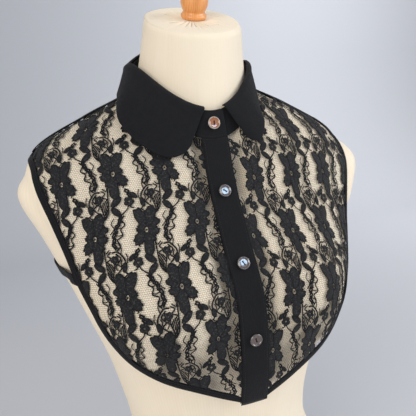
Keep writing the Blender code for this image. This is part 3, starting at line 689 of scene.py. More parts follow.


# ---------------------------------------------------------------- meshes
def piece(name, vertices, faces, looks, uv, face_looks=None, nodes=()):
    """A piece of the visual model. faces is a list of arrays with three or four corners each; uv is in metres."""
    mesh = bpy.data.meshes.new(name)
    vertices = np.asarray(vertices, float).reshape(-1, 3)
    mesh.vertices.add(len(vertices))
    mesh.vertices.foreach_set("co", vertices.ravel())
    faces = [np.asarray(f, int) for f in faces if len(f)]
    loops = np.concatenate([f.ravel() for f in faces])
    totals = np.concatenate([np.full(len(f), f.shape[1]) for f in faces])
    mesh.loops.add(len(loops))
    mesh.loops.foreach_set("vertex_index", loops)
    mesh.polygons.add(len(totals))
    mesh.polygons.foreach_set("loop_start", np.r_[0, np.cumsum(totals)[:-1]])
    mesh.polygons.foreach_set("loop_total", totals)
    mesh.update(calc_edges=True)
    for look in looks:
        mesh.materials.append(look)
    if face_looks is not None:
        mesh.polygons.foreach_set("material_index", np.asarray(face_looks, int))
    layer = mesh.uv_layers.new(name="flat")
    layer.data.foreach_set("uv", np.asarray(uv, float).reshape(-1, 2)[loops].ravel())
    mesh.polygons.foreach_set("use_smooth", np.ones(len(totals), bool))
    mesh.validate()
    mesh.update()
    thing = bpy.data.objects.new(name, mesh)
    scene.collection.objects.link(thing)
    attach(thing, "root")
    if nodes:
        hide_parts(*nodes)
    return thing


def unit(v):
    return v / np.maximum(np.linalg.norm(v, axis=-1, keepdims=True), 1e-12)


def grid_faces(rows, columns, first=0, closed=False, flip=False):
    i = np.arange(rows * columns).reshape(rows, columns) + first
    j = np.roll(i, -1, 1) if closed else i[:, 1:]
    k = i if closed else i[:, :-1]
    quads = np.stack([k[:-1], j[:-1], j[1:], k[1:]], -1).reshape(-1, 4)
    return quads[:, ::-1] if flip else quads


def lengths(points, axis):
    d = np.linalg.norm(np.diff(points, axis=axis), axis=-1)
    out = np.cumsum(d, axis=axis)
    pad = [(0, 0)] * d.ndim
    pad[axis] = (1, 0)
    return np.pad(out, pad)


def grid_normals(points, out=None):
    n = unit(np.cross(np.gradient(points, axis=0), np.gradient(points, axis=1)))
    if out is not None and (n * out).sum() < 0:
        n = -n
    return n


def stations(length, step, near=(0.0003, 0.0007, 0.0013)):
    """Even stations from 0 to 1, with closer ones at both ends for a rounded edge."""
    near = np.array([v for v in near if v < length / 3]) / length
    inner = np.linspace(near[-1], 1 - near[-1], max(3, int(round(length / step))))
    return np.r_[0, near[:-1], inner, (1 - near[:-1])[::-1], 1]


def wall(name, points, normals, thickness, look, nodes=(), middle=0.0, relief=None, roll=0.0012, rounded=(1, 1, 1, 1)):
    """A thin closed shell over a grid of points, with rounded edges. rounded says which edges: first row, last row, first column, last column."""
    rows, columns = points.shape[:2]
    u, v = lengths(points, 1), lengths(points, 0)
    far = np.full(points.shape[:2], 9.0)
    for flag, d in zip(rounded, (v, v[-1:] - v, u, u[:, -1:] - u)):
        if flag:
            far = np.minimum(far, d)
    edge = np.sqrt(np.maximum(1 - (1 - np.minimum(far / roll, 1)) ** 2, 0.02))
    high = middle + thickness / 2 * edge
    if relief is not None:
        high = high + relief
    outer = points + normals * high[..., None]
    inner = points + normals * (middle - thickness / 2 * edge)[..., None]
    k = rows * columns
    i = np.arange(k).reshape(rows, columns)
    ring = np.concatenate([i[0], i[1:, -1], i[-1, -2::-1], i[-2:0:-1, 0]])
    after = np.roll(ring, -1)
    rim = np.stack([after, ring, ring + k, after + k], -1)
    faces = [grid_faces(rows, columns), grid_faces(rows, columns, k, flip=True), rim]
    flat = np.stack([u, v], -1)
    made = piece(name, np.concatenate([outer.reshape(-1, 3), inner.reshape(-1, 3)]), faces, [look], np.concatenate([flat.reshape(-1, 2), flat.reshape(-1, 2) + 0.5]), nodes=nodes)
    fix_normals(made)
    return made


def fix_normals(thing):
    build = bmesh.new()
    build.from_mesh(thing.data)
    bmesh.ops.recalc_face_normals(build, faces=build.faces)
    build.to_mesh(thing.data)
    build.free()


def stitches(name, path, normals, length=0.0021, gap=0.0006, width=0.00042, high=0.00022):
    """A row of machine stitches along a path, each a small raised pad of thread."""
    along = np.r_[0, np.cumsum(np.linalg.norm(np.diff(path, axis=0), axis=1))]
    starts = np.arange(gap, along[-1] - length, length + gap)
    at = lambda values, s: np.stack([np.interp(s, along, values[:, k]) for k in range(3)], -1)
    t = np.linspace(0, 1, 5)
    s = starts[:, None] + t * length
    p, n = at(path, s), unit(at(normals, s))
    d = unit(at(path, s + 1e-4) - at(path, s - 1e-4))
    side = np.cross(d, n)
    shape = np.array([0.35, 0.9, 1.0, 0.9, 0.35]) * width / 2
    rise = np.array([-0.6, 0.7, 1.0, 0.7, -0.6]) * high
    rows = [p + side * shape[:, None] + n * (rise * 0.1 - 0.00006)[:, None], p + n * rise[:, None], p - side * shape[:, None] + n * (rise * 0.1 - 0.00006)[:, None]]
    grid = np.stack(rows, 2)
    count = len(starts)
    base = grid_faces(5, 3)
    faces = (base[None] + (np.arange(count) * 15)[:, None, None]).reshape(-1, 4)
    uv = np.stack([np.broadcast_to(s[..., None], grid.shape[:3]), np.broadcast_to(np.array([0, 0.0003, 0.0006]), grid.shape[:3])], -1)
    return piece(name, grid, [faces], [STITCH], uv)



# ---------------------------------------------------------------- the dress form
def weld(thing, distance=1e-6):
    build = bmesh.new()
    build.from_mesh(thing.data)
    bmesh.ops.remove_doubles(build, verts=build.verts, dist=distance)
    bmesh.ops.dissolve_degenerate(build, edges=build.edges, dist=1e-7)
    bmesh.ops.recalc_face_normals(build, faces=build.faces)
    build.to_mesh(thing.data)
    build.free()


def cap_frame():
    angle = np.linspace(0, math.tau, 40, endpoint=False)
    top = form.at(angle, np.full(40, 13.0))
    centre = top.mean(0)
    normal = unit(np.cross(top[10] - centre, top[0] - centre))
    return centre, normal if normal[2] > 0 else -normal


def snug(points, normals, panels):
    """The form's padding, which fills out the lace round the shoulders and armholes to within 2 mm."""
    tree = BVHTree.FromPolygons(*panels)
    out = points.copy()
    for k, (p, n) in enumerate(zip(points, normals)):
        if abs(p[0]) < 0.018 or p[2] < 0.25:
            continue
        near = tree.find_nearest(Vector(p), 0.14 if p[0] > 0.095 else 0.05)
        if near[0] is None:
            continue
        gap = np.array(near[0]) - p
        rise = float(gap @ n)
        slide = float(np.linalg.norm(gap - rise * n))
        wide = min(max((abs(p[0]) - 0.018) / 0.016, 0.0), 1.0)
        fade = min(max(1 - (slide - 0.002) / 0.020, 0.0), 1.0)
        push = min(max(rise - 0.0015, 0.0), 0.013)
        if abs(p[0]) < 0.085:  # clear of the collar stand
            fade *= min(max(1 - (p[2] - near[0][2]) / 0.004, 0.0), 1.0)
        out[k] = p + n * push * fade * fade * (3 - 2 * fade) * wide * wide * (3 - 2 * wide)
        if p[0] > 0.095:  # the padding swells out of the armhole beside the binding
            past = min(max((slide - 0.0065) / 0.012, 0.0), 1.0)
            level = min(max((p[2] - 0.428) / 0.034, 0.0), 1.0)
            out[k] = out[k] + n * 0.0056 * min((p[0] - 0.095) / 0.02, 1.0) * past * past * (3 - 2 * past) * level * level * (3 - 2 * level)
    return out


def make_form():
    columns = 288
    angle = np.linspace(-math.pi, math.pi, columns + 1)
    rows = np.r_[0, 0.5, 1, np.linspace(1, 5, 40)[1:], np.linspace(5, 12, 90)[1:], 12.35, 12.7, 13]
    a, q = np.meshgrid(angle, rows)
    rings = form.at(a, q)
    rings[0, :, 2] = 0.0
    centre, normal = cap_frame()
    corners, quads = [], []
    for grid in (front_lace_grid(), front_lace_grid()[:, ::-1] * [-1, 1], back_lace_grid()):
        p = shell.at(grid[..., 0], grid[..., 1])
        quads += grid_faces(*p.shape[:2], first=sum(len(c) for c in corners)).tolist()
        corners.append(p.reshape(-1, 3))
    normals = form.normal(a, q)
    rings = snug(rings.reshape(-1, 3), normals.reshape(-1, 3), (np.concatenate(corners).tolist(), quads)).reshape(rings.shape)
    top = rings[-1]
    flat = top - ((top - centre) @ normal)[:, None] * normal
    share = np.r_[0.995, 0.985, 0.965, 0.94, 0.91, 0.87, 0.82, 0.76, 0.70, 0.63, 0.56, 0.49, 0.42, 0.35, 0.28, 0.2, 0.1, 0.0]
    fold = 0.6 - (1 - np.abs(np.sin(a[0] * 14 + 1.6 * np.sin(a[0] * 3))) ** 0.6) * (0.72 + 0.28 * np.sin(a[0] * 7 + 1))
    cap = []
    for s in share:
        rise = 0.0016 * max(0.0, 1 - s**5) ** 0.6
        deep = 0.0036 * math.exp(-(((s - 0.30) / 0.32) ** 2)) if s > 0.24 else 0
        cap.append(centre + (flat - centre) * s + normal * (rise + deep * (fold - 0.6))[:, None])
    base = rings[0] * [0, 0, 0] + rings[0].mean(0) * [1, 1, 0]
    points = np.concatenate([[base], rings, cap])
    # the jersey strains a little over the bust and puckers softly along the neck
    # the jersey's flat uv, in metres down the form and round it
    v = lengths(points, 0)
    u = np.broadcast_to(angle * 0.15, points.shape[:2])
    # painted shade: the faces in the bottoms of the gathers, each to its own length, take the darker brown look
    middle = (angle[1:] + angle[:-1]) / 2
    bottom = np.abs(np.sin(middle * 14 + 1.6 * np.sin(middle * 3))) < 0.17
    reach = 0.46 + 0.17 * np.abs(np.sin(middle * 5 + 1))
    looks = np.zeros((len(points) - 1, columns), int)
    for k, s in enumerate(share):
        looks[len(rows) + k] = bottom & (s < reach) & (s > 0.2)
    thing = piece("form_jersey_body", points, [grid_faces(*points.shape[:2])], [JERSEY, FOLD_SHADE], np.stack([u, v], -1), looks.ravel(), nodes=["form_body"])
    weld(thing, 2e-6)
    return centre + normal * 0.0016, normal


def turning(profile, steps):
    """A profile of (radius, height) in metres, turned round +Z, with its uv as metres round and along."""
    profile = np.array(profile)
    t = np.linspace(0, math.tau, steps + 1)
    r, h = profile[:, 0][:, None], profile[:, 1][:, None]
    points = np.stack([r * np.cos(t), r * np.sin(t), h + 0 * t], -1)
    along = np.r_[0, np.cumsum(np.linalg.norm(np.diff(profile, axis=0), axis=1))]
    uv = np.stack(np.broadcast_arrays(t * profile[:, 0].max(), along[:, None]), -1)
    return points, uv


def placed(origin, axis, turn=0.0):
    """World matrix of a part whose own +Z runs along the axis."""
    spin = Vector(axis).to_track_quat("Z", "Y").to_matrix().to_4x4()
    return Matrix.Translation(Vector(origin)) @ spin @ Matrix.Rotation(turn, 4, "Z")


def moved(points, matrix):
    m = np.array(matrix)
    return points @ m[:3, :3].T + m[:3, 3]


def refine(points, axis, at):
    """Points resampled along an axis at these shares of its mean length, on smooth curves."""
    p = np.moveaxis(points, axis, 0)
    along = lengths(p, 0)
    along = along.reshape(len(p), -1).mean(1)
    along = along / along[-1]
    slope = np.gradient(p, along, axis=0)
    at = np.clip(at, 0, 1)
    i = np.clip(np.searchsorted(along, at, side="right") - 1, 0, len(p) - 2)
    h = along[i + 1] - along[i]
    shape = (-1,) + (1,) * (p.ndim - 1)
    u = ((at - along[i]) / h).reshape(shape)
    h = h.reshape(shape)
    out = (
        (2 * u**3 - 3 * u**2 + 1) * p[i]
        + (u**3 - 2 * u**2 + u) * h * slope[i]
        + (3 * u**2 - 2 * u**3) * p[i + 1]
        + (u**3 - u**2) * h * slope[i + 1]
    )
    return np.moveaxis(out, 0, axis)


def make_finial(centre, normal):
    rows = np.array(FINIAL) / 1000
    profile = refine(rows[1:-1], 0, np.linspace(0, 1, 56))
    profile = np.concatenate([[rows[0]], profile, [[0.0036, 0.03055], rows[-1]]])
    # a fine V groove cut over the foot, as turners mark a bead
    groove = np.exp(-(((profile[:, 1] - 0.0046) / 0.0005) ** 2)) * 0.0003
    profile[:, 0] = np.maximum(profile[:, 0] - groove, 0)
    points, uv = turning(profile, 72)
    origin = centre + normal * SEAM + np.array([FINIAL_SHIFT, 0, 0])
    thing = piece("finial_turned", moved(points, placed(origin, normal)), [grid_faces(*points.shape[:2])], [pine()], uv, nodes=["form_finial"])
    weld(thing)


# ---------------------------------------------------------------- cloth bands
def soft_noise(u, v, scale, seed):
    """Smooth uneven creases from -1 to 1, made of a few sines."""
    r = np.random.default_rng(seed)
    out = 0 * u
    for _ in range(6):
        k = r.uniform(0.5, 1.6, 2) / scale
        out = out + np.sin(u * k[0] * r.choice([-1, 1]) + v * k[1] + r.uniform(0, 6.28))
    return out / 3.2


def make_placket():
    bottom = float(shell.find(0.0, FRONT_EDGE[-1][1] - 0.35, 0.0, 6.4)[1])
    rows = np.linspace(0, 1, 110)
    x = (stations(PLACKET_W, 0.0011) - 0.5) * PLACKET_W / CM
    xx, q = np.meshgrid(x, rows * bottom)
    angle = np.sign(xx) * angle_at_x(np.abs(xx), q)
    points = shell.at(angle, q)
    normals = shell.normal(angle, q)
    down = lengths(points, 0)
    for name, node, middle, seed in (("placket_band_top", "placket_top", LAYER, 3), ("placket_band_under", "placket_under", -LAYER, 4)):
        inside = PLACKET_W / 2 - np.abs(xx * CM)
        groove = -0.00022 * np.exp(-(((inside - 0.0024) / 0.0005) ** 2))
        edge = -0.00012 * np.exp(-(((inside - 0.0011) / 0.0012) ** 2))
        pucker = 0.00010 * np.sin(down / 0.0046 * math.tau + 2 * np.sin(down * 90)) * np.exp(-(((inside - 0.0018) / 0.0016) ** 2))
        cloth = 0.00014 * soft_noise(xx * CM, down, 0.010, seed)
        top = down[-1:] - down
        fold = -0.00020 * np.exp(-(((top - 0.0026) / 0.0005) ** 2))
        relief = (groove + edge + pucker + cloth + fold) if middle > 0 else cloth
        made = wall(name, points, normals, PLACKET_T * 0.84, CLOTH, nodes=[node], middle=middle, relief=relief)
    lift = LAYER + PLACKET_T * 0.42 - 0.00016
    paths, faces = [], []
    for sign in (-1, 1):
        qq = np.linspace(0.02, bottom - 0.03, 200)
        aa = sign * angle_at_x(np.full(200, (PLACKET_W / 2 - 0.0024) / CM), qq)
        stitches("stitches_placket_%s" % ("right" if sign < 0 else "left"), shell.at(aa, qq) + shell.normal(aa, qq) * lift, shell.normal(aa, qq))
    xs = np.linspace(-1, 1, 30) * (PLACKET_W / 2 - 0.0026) / CM
    qq = np.full(30, bottom - 0.0026 / (down[-1].mean() / bottom))
    aa = np.sign(xs) * angle_at_x(np.abs(xs), qq)
    stitches("stitches_placket_end", shell.at(aa, qq) + shell.normal(aa, qq) * lift, shell.normal(aa, qq))
    return bottom


def make_stand():
    end = math.degrees(math.asin(STAND_END_X / 7.2))
    low = -0.12
    span = math.radians(360 + 2 * end)
    turn = -math.radians(end) + stations(0.45, 0.0016) * span
    q = low + (2 - low) * stations(0.029, 0.0012)
    a, qq = np.meshgrid(turn, q)
    rounded = lambda near: near * ((qq - low) / (2 - low)) ** 3 * 0.35
    qq = qq - rounded(np.clip((a - (turn[-1] - 0.045)) / 0.045, 0, 1) ** 2)
    qq = qq - rounded(np.clip((turn[0] + 0.045 - a) / 0.045, 0, 1) ** 2)
    points = stand_points(a, qq)
    normals = stand.normal(a, qq)
    v = lengths(points, 0)
    u = lengths(points, 1)
    relief = 0.00012 * soft_noise(u, v, 0.014, 8) - 0.0002 * np.exp(-(((v - 0.0026) / 0.0005) ** 2))
    relief = relief - 0.0002 * np.exp(-((((u[:, -1:] - u) - 0.0026) / 0.0005) ** 2)) - 0.00018 * np.exp(-((((v[-1:] - v) - 0.0022) / 0.0005) ** 2))
    made = wall("collar_stand_band", points, normals, STAND_T * 0.84, CLOTH, nodes=["collar_stand"], relief=relief)
    lift = STAND_T * 0.42 - 0.00014
    last = turn[-1]
    aa = np.r_[np.linspace(math.radians(300), last - 0.040, 120), np.full(30, last - 0.036), np.linspace(last - 0.04, math.radians(300), 120)]
    qs = np.r_[np.full(120, low + 0.19), np.linspace(low + 0.2, 1.62, 30), np.linspace(1.66, 1.84, 120)]
    stitches("stitches_stand_tab", stand_points(aa, qs) + stand.normal(aa, qs) * lift, stand.normal(aa, qs))
    aa = np.linspace(math.radians(20), math.radians(300), 400)
    qs = np.full(400, low + 0.19)
    stitches("stitches_stand", stand_points(aa, qs) + stand.normal(aa, qs) * lift, stand.normal(aa, qs))


def make_leaf():
    rough = leaf_sections()
    across = refine(rough, 0, stations(0.46, 0.0014))
    points = refine(across, 1, stations(0.055, 0.0014))
    outward = stand.normal(np.linspace(math.radians(12), math.radians(353.5), points.shape[0]), np.full(points.shape[0], 1.5))
    normals = grid_normals(points, np.broadcast_to(outward[:, None], points.shape))
    u, v = lengths(points, 0), lengths(points, 1)
    below = v / v[:, -1:]
    wave = 0.00042 * soft_noise(u, v, 0.022, 21) * np.clip(below * 1.6 - 0.3, 0, 1)
    fine = 0.00010 * soft_noise(u, v, 0.006, 22) * np.clip(below * 2 - 0.2, 0, 1)
    points = points + normals * (wave + fine)[..., None]
    far = np.minimum(v[:, -1:] - v, np.minimum(u, u[-1:] - u))
    relief = -0.00016 * np.exp(-(((far - 0.0016) / 0.0007) ** 2))
    made = wall("collar_leaf_folded", points, normals, LEAF_T * 0.85, CLOTH, nodes=["collar_leaf"], relief=relief, roll=0.0010)


def strap_line(side):
    """The strap's two edges, and the way out of it, as in the CAD source."""
    half = STRAP_W / 2 / CM
    sections = 13
    rows = []
    for offset in (-half, half):
        ends = []
        for table, back, height in ((FRONT_EDGE, False, STRAP_Z[0]), (BACK_EDGE, True, STRAP_Z[1])):
            angle, q = edge_on_shell(table, 300, back)
            z = shell.at(angle, q)[:, 2] / CM - WAIST_Z
            low = np.abs(z - height - offset) + 99 * (q < 2.9)
            k = int(np.argmin(low))
            ends.append((angle[k], q[k]))
        a = np.linspace(ends[0][0], ends[1][0], sections)
        q = np.linspace(ends[0][1], ends[1][1], sections)
        on_shell = shell.at(a * side, q)
        target = on_shell[:, 2]
        low, high = np.full(sections, 2.0), np.full(sections, 7.0)
        for _ in range(40):
            middle = (low + high) / 2
            below = form.at(a * side, middle)[:, 2] < target
            low, high = np.where(below, middle, low), np.where(below, high, middle)
        on_form = form.at(a * side, middle) + form.normal(a * side, middle) * 0.0018
        near = np.minimum(np.arange(sections), np.arange(sections)[::-1]) / 3.0
        w = np.clip(near, 0, 1)
        w = (w * w * (3 - 2 * w))[:, None]
        line = on_shell * (1 - w) + on_form * w
        for end, other in ((0, 1), (-1, -2)):
            away = line[other] - line[end]
            line[end] += away / np.linalg.norm(away) * (SEAM + 0.0002)
        rows.append(line)
    points = np.stack(rows, 1)
    along = np.gradient(points.mean(1), axis=0)
    n = unit(np.cross(along, points[:, 1] - points[:, 0]))
    if n[sections // 2, 0] * side < 0:
        n = -n
    return points, n


def make_strap(name, node, side):
    points, n = strap_line(side)
    points = refine(points, 0, np.linspace(0, 1, 90))
    share = stations(STRAP_W, 0.0012)[None, :, None]
    grid = points[:, :1] * (1 - share) + points[:, 1:] * share
    normals = unit(refine(n[:, None], 0, np.linspace(0, 1, 90))) + 0 * grid
    u, v = lengths(grid, 1), lengths(grid, 0)
    rim = np.minimum(u, u[:, -1:] - u)
    relief = -0.00016 * np.exp(-(((rim - 0.0015) / 0.0005) ** 2)) + 0.00008 * soft_noise(u, v, 0.008, 5)
    made = wall(name, grid, normals, STRAP_T * 0.85, TAPE, nodes=[node], relief=relief, rounded=(0, 0, 1, 1))
    k = int(np.argmin(np.abs(u[0] - 0.0015)))
    for tag, j in (("a", k), ("b", grid.shape[1] - 1 - k)):
        stitches("stitches_%s_%s" % (name, tag), grid[:, j] + normals[:, j] * (STRAP_T * 0.42 - 0.0001), normals[:, j])


def make_binding(name, node, outer, inner, side):
    """A bias strip folded round the lace's raw edge: under side, fold and upper side in one."""
    (oa, oq), (ia, iq) = outer, inner
    count = max(260, 6 * len(oa))
    rail = np.stack([shell.at(oa * side, oq), shell.at(ia * side, iq)], 1)
    normal = np.stack([shell.normal(oa * side, oq), shell.normal(ia * side, iq)], 1)
    rail = refine(rail, 0, np.linspace(0, 1, count))
    normal = unit(refine(normal, 0, np.linspace(0, 1, count)))
    a, b = rail[:, 0], rail[:, 1]
    t = unit(b - a)
    wide = np.linalg.norm(b - a, axis=1, keepdims=True) * 1.15
    h = BIND_T / 2 * 0.92
    shape = []  # share of the width in from the fold, height in metres
    for s in np.r_[1.0, 0.93, 0.85, 0.75, 0.62, 0.48, 0.34]:
        shape.append((s, -h * (0.72 + 0.28 * math.sin(math.pi * min(1, (1 - s) * 1.2)))))
    for turn in np.linspace(-80, 80, 9):
        shape.append((0.15 * (1 - math.cos(math.radians(turn))), h * math.sin(math.radians(turn))))
    for s in np.r_[0.24, 0.34, 0.45, 0.56, 0.67, 0.735, 0.77, 0.80, 0.85, 0.91, 0.96, 1.0]:
        crest = h * (0.70 + 0.30 * math.sin(math.pi * min(1, (1 - s) * 1.15)))
        crest -= 0.00030 * math.exp(-(((s - 0.77) / 0.05) ** 2))
        shape.append((s, crest if s < 1 else crest - 0.00035))
    s, y = np.array(shape).T
    along = np.r_[0, np.cumsum(np.linalg.norm(np.diff(rail.mean(1), axis=0), axis=1))]
    pucker = 0.00010 * np.sin(along / 0.0052 * math.tau + 1.5 * np.sin(along * 70))[:, None] * np.exp(-(((s - 0.62) / 0.3) ** 2))[None] * (y > 0)
    nn = normal[:, :1] * (1 - s[None, :, None]) + normal[:, 1:] * s[None, :, None]
    points = a[:, None] + t[:, None] * (wide * s)[..., None] + nn * (y + pucker)[..., None]
    girth = lengths(points, 1)
    uv = np.stack([girth, np.broadcast_to(along[:, None], girth.shape)], -1)
    # the bias runs at 45 degrees to the weave
    uv = np.stack([uv[..., 0] + uv[..., 1], uv[..., 0] - uv[..., 1]], -1) * math.sqrt(0.5)
    made = piece(name, points, [grid_faces(*points.shape[:2])], [TAPE], uv, nodes=[node])
    fix_normals(made)
    float(lengths(points, 0)[-1].mean())
    k = int(np.argmin(np.abs(s - 0.77) + (y < 0)))
    stitches("stitches_" + name, points[:, k], nn[:, k])


def make_bindings():
    _, outer, inner = front_grid()
    inner_edge = inward(*outer, BIND_W)
    for side, name in ((-1, "right"), (1, "left")):
        end = angle_at_x((PLACKET_W / 2 + SEAM) / CM, np.array([outer[1][-1], inner_edge[1][-1]]))
        oa, ia = outer[0].copy(), inner_edge[0].copy()
        oa[-1], ia[-1] = end
        seam = shoulder_angle(np.array([outer[1][0], inner_edge[1][0]]), -SEAM / 2)
        oa[0], ia[0] = seam
        make_binding("binding_strip_" + name, "binding_front_" + name, (oa, outer[1]), (ia, inner_edge[1]), side)
    _, outer, inner = back_grid()
    inner_edge = inward(*outer, BIND_W)
    inner_edge[0][-1] = math.pi
    seam = shoulder_angle(np.array([outer[1][0], inner_edge[1][0]]), SEAM / 2)
    outer[0][0], inner_edge[0][0] = seam
    both = [(np.r_[a, (math.tau - a[::-1])[1:]], np.r_[q, q[::-1][1:]]) for a, q in (outer, inner_edge)]
    make_binding("binding_strip_back", "binding_back", both[0], both[1], 1)


def make_shoulders():
    """A narrow strip of the black cloth over each shoulder seam."""
    _, _, inner = front_grid()
    reach = float(inner[1][0])
    wide = 0.0190
    q = 0.0 + reach * stations(0.12, 0.0022)
    away = (stations(wide, 0.0012) - 0.70) * wide
    angle = np.stack([shoulder_angle(q, float(s)) if abs(s) > 1e-7 else np.full(len(q), math.pi / 2) for s in away], 1)
    qq = np.repeat(q[:, None], len(away), 1)
    for side, name in ((-1, "right"), (1, "left")):
        points, normals = shell.at(angle * side, qq), shell.normal(angle * side, qq)
        u, v = lengths(points, 1), lengths(points, 0)
        rim = np.minimum(u, u[:, -1:] - u)
        relief = -0.00014 * np.exp(-(((rim - 0.0014) / 0.0005) ** 2)) + 0.0001 * soft_noise(u, v, 0.009, 15)
        made = wall("shoulder_strip_" + name, points, normals, 0.0009, TAPE, middle=0.00115, relief=relief, roll=0.0007)
        for tag, j in (("front", 3), ("back", len(away) - 4)):
            stitches("stitches_shoulder_%s_%s" % (name, tag), points[:, j] + normals[:, j] * 0.00152, normals[:, j])


# ---------------------------------------------------------------- buttons
def make_button(name, node, origin, axis, turn, warm):
    r, t = BUTTON_R * 1.05, BUTTON_T
    profile = [
        (0.0, 0.0), (0.40, 0.0), (0.72, 0.0), (0.86, 0.10), (0.96, 0.30), (1.0, 0.52), (0.995, 0.68), (0.97, 0.83), (0.93, 0.94),
        (0.88, 0.99), (0.83, 0.98), (0.79, 0.92), (0.755, 0.83), (0.72, 0.77), (0.66, 0.735), (0.58, 0.72), (0.50, 0.71), (0.36, 0.70), (0.2, 0.695), (0.0, 0.69),
    ]
    profile = np.array(profile) * [r, t]
    points, uv = turning(profile, 64)
    uv = np.stack([np.broadcast_to((profile[:, 0] / r)[:, None], points.shape[:2]), uv[..., 0] * 0.2], -1)
    matrix = placed(origin, axis, turn)
    look = smoke(warm)
    thing = piece(name, points, [grid_faces(*points.shape[:2])], [look], uv, nodes=[node])
    weld(thing)
    cutters = []
    for sign in (-1, 1):
        bpy.ops.mesh.primitive_cylinder_add(vertices=20, radius=0.0008, depth=0.008, end_fill_type="NGON", location=(0, sign * 0.00145, 0.001), rotation=(0, 0, 0.21))
        cutter = bpy.context.object
        cut = thing.modifiers.new("hole", "BOOLEAN")
        cut.operation = "DIFFERENCE"
        cut.solver = "EXACT"
        cut.object = cutter
        cutters.append(cutter)
    bpy.context.view_layer.update()
    graph = bpy.context.evaluated_depsgraph_get()
    mesh = bpy.data.meshes.new_from_object(thing.evaluated_get(graph))
    thing.modifiers.clear()
    thing.data = mesh
    for cutter in cutters:
        bpy.data.objects.remove(cutter, do_unlink=True)
    mesh.transform(matrix)
    mesh.update()
    # two strands of thread, down through both holes
    strands = []
    for x in (-0.0002, 0.0002):
        y = np.r_[-0.00150, -0.00148, -0.00138, -0.0009, -0.0003, 0.0003, 0.0009, 0.00138, 0.00148, 0.00150]
        z = np.r_[0.0008, 0.0015, 0.00198, 0.00212, 0.00218, 0.00218, 0.00212, 0.00198, 0.0015, 0.0008]
        centre = np.stack([x + 0 * y, y, z], -1)
        d = unit(np.gradient(centre, axis=0))
        side = np.array([1.0, 0, 0])
        up = unit(np.cross(side, d))
        ring = np.linspace(0, math.tau, 8, endpoint=False)
        tube = centre[:, None] + 0.00021 * (np.cos(ring)[None, :, None] * side + np.sin(ring)[None, :, None] * up[:, None])
        strands.append(tube)
    tubes = np.array(strands)
    faces = np.concatenate([grid_faces(10, 8, k * 80, closed=True) for k in range(2)])
    caps = np.concatenate([[np.arange(8)[::-1] + k * 80, np.arange(8) + k * 80 + 72] for k in range(2)])
    uv = np.stack(np.broadcast_arrays(np.arange(8) * 0.00016, (np.arange(10) * 0.0004)[:, None]), -1)
    piece(name + "_thread", moved(tubes.reshape(-1, 3), matrix), [faces, caps], [CORD], np.stack([uv, uv]))
    view = unit(eye - np.array(origin))
    axis = np.array(axis)
    mirror = 2 * (view @ axis) * axis - view
    print(name, "reflects the side", mirror.round(3))


def make_buttons():
    over, q = math.tau, 1.0
    axis = stand.normal(over, q)
    face = stand_points(np.array(over), np.array(q)) + axis * (STAND_T / 2 + SEAM * 0.6)
    make_button("button_neck", "button_1", face, axis, -0.10, 1.0)
    for k, height in enumerate(BUTTON_Z):
        _, q = shell.find(0.0, height, 0.0, 2.0 + k)
        n = shell.normal(0.0, q)
        make_button("button_front_%d" % (k + 1), "button_%d" % (k + 2), shell.at(0.0, q) + n * (LAYER + PLACKET_T / 2 + SEAM * 0.6), n, (0.9, 0.45, 0.25)[k], 0.12)



# ---------------------------------------------------------------- lace: the flat panels
def flatten(points, turns=45):
    """Lays a curved grid flat with as little stretch as possible (as rigid as possible), in its own metres."""
    rows, columns = points.shape[:2]
    x3 = points.reshape(-1, 3)
    index = np.arange(rows * columns).reshape(rows, columns)
    a, b, c, d = index[:-1, :-1].ravel(), index[:-1, 1:].ravel(), index[1:, 1:].ravel(), index[1:, :-1].ravel()
    faces = np.concatenate([np.stack(t, 1) for t in ((a, b, c), (a, c, d), (a, b, d), (b, c, d))])
    p = x3[faces]
    e1 = p[:, 1] - p[:, 0]
    l1 = np.linalg.norm(e1, axis=1)
    e2 = p[:, 2] - p[:, 0]
    x2 = (e2 * e1).sum(1) / l1
    y2 = np.linalg.norm(e2 - (x2 / l1)[:, None] * e1, axis=1)
    x = np.zeros((len(faces), 3, 2))
    x[:, 1, 0], x[:, 2, 0], x[:, 2, 1] = l1, x2, y2
    n = len(x3)
    laplace = np.zeros((n, n))
    edges = []
    for k in range(3):
        i, j, o = k, (k + 1) % 3, (k + 2) % 3
        u, v = x[:, i] - x[:, o], x[:, j] - x[:, o]
        w = (u * v).sum(1) / np.maximum(np.abs(u[:, 0] * v[:, 1] - u[:, 1] * v[:, 0]), 1e-12) * 0.5
        w = np.maximum(w, 0.02)
        fi, fj = faces[:, i], faces[:, j]
        np.add.at(laplace, (fi, fi), w)
        np.add.at(laplace, (fj, fj), w)
        np.add.at(laplace, (fi, fj), -w)
        np.add.at(laplace, (fj, fi), -w)
        edges.append((fi, fj, w, x[:, i] - x[:, j]))
    laplace[0, 0] += 1e3
    inverse = np.linalg.inv(laplace)
    u = np.stack([lengths(points, 1).ravel(), lengths(points, 0).ravel()], 1)
    for _ in range(turns):
        turn = np.zeros((len(faces), 2, 2))
        for fi, fj, w, dx in edges:
            turn += w[:, None, None] * (u[fi] - u[fj])[:, :, None] * dx[:, None, :]
        angle = np.arctan2(turn[:, 1, 0] - turn[:, 0, 1], turn[:, 0, 0] + turn[:, 1, 1])
        c, s = np.cos(angle), np.sin(angle)
        right = np.zeros((n, 2))
        for fi, fj, w, dx in edges:
            r = np.stack([c * dx[:, 0] - s * dx[:, 1], s * dx[:, 0] + c * dx[:, 1]], 1) * w[:, None]
            np.add.at(right, fi, r)
            np.add.at(right, fj, -r)
        u = inverse @ right
    return (u * [1, -1]).reshape(rows, columns, 2)


HIDDEN = 0.0033  # how far the lace runs on under the binding
UNDER_BAND = 0.0038  # and between the placket's two layers


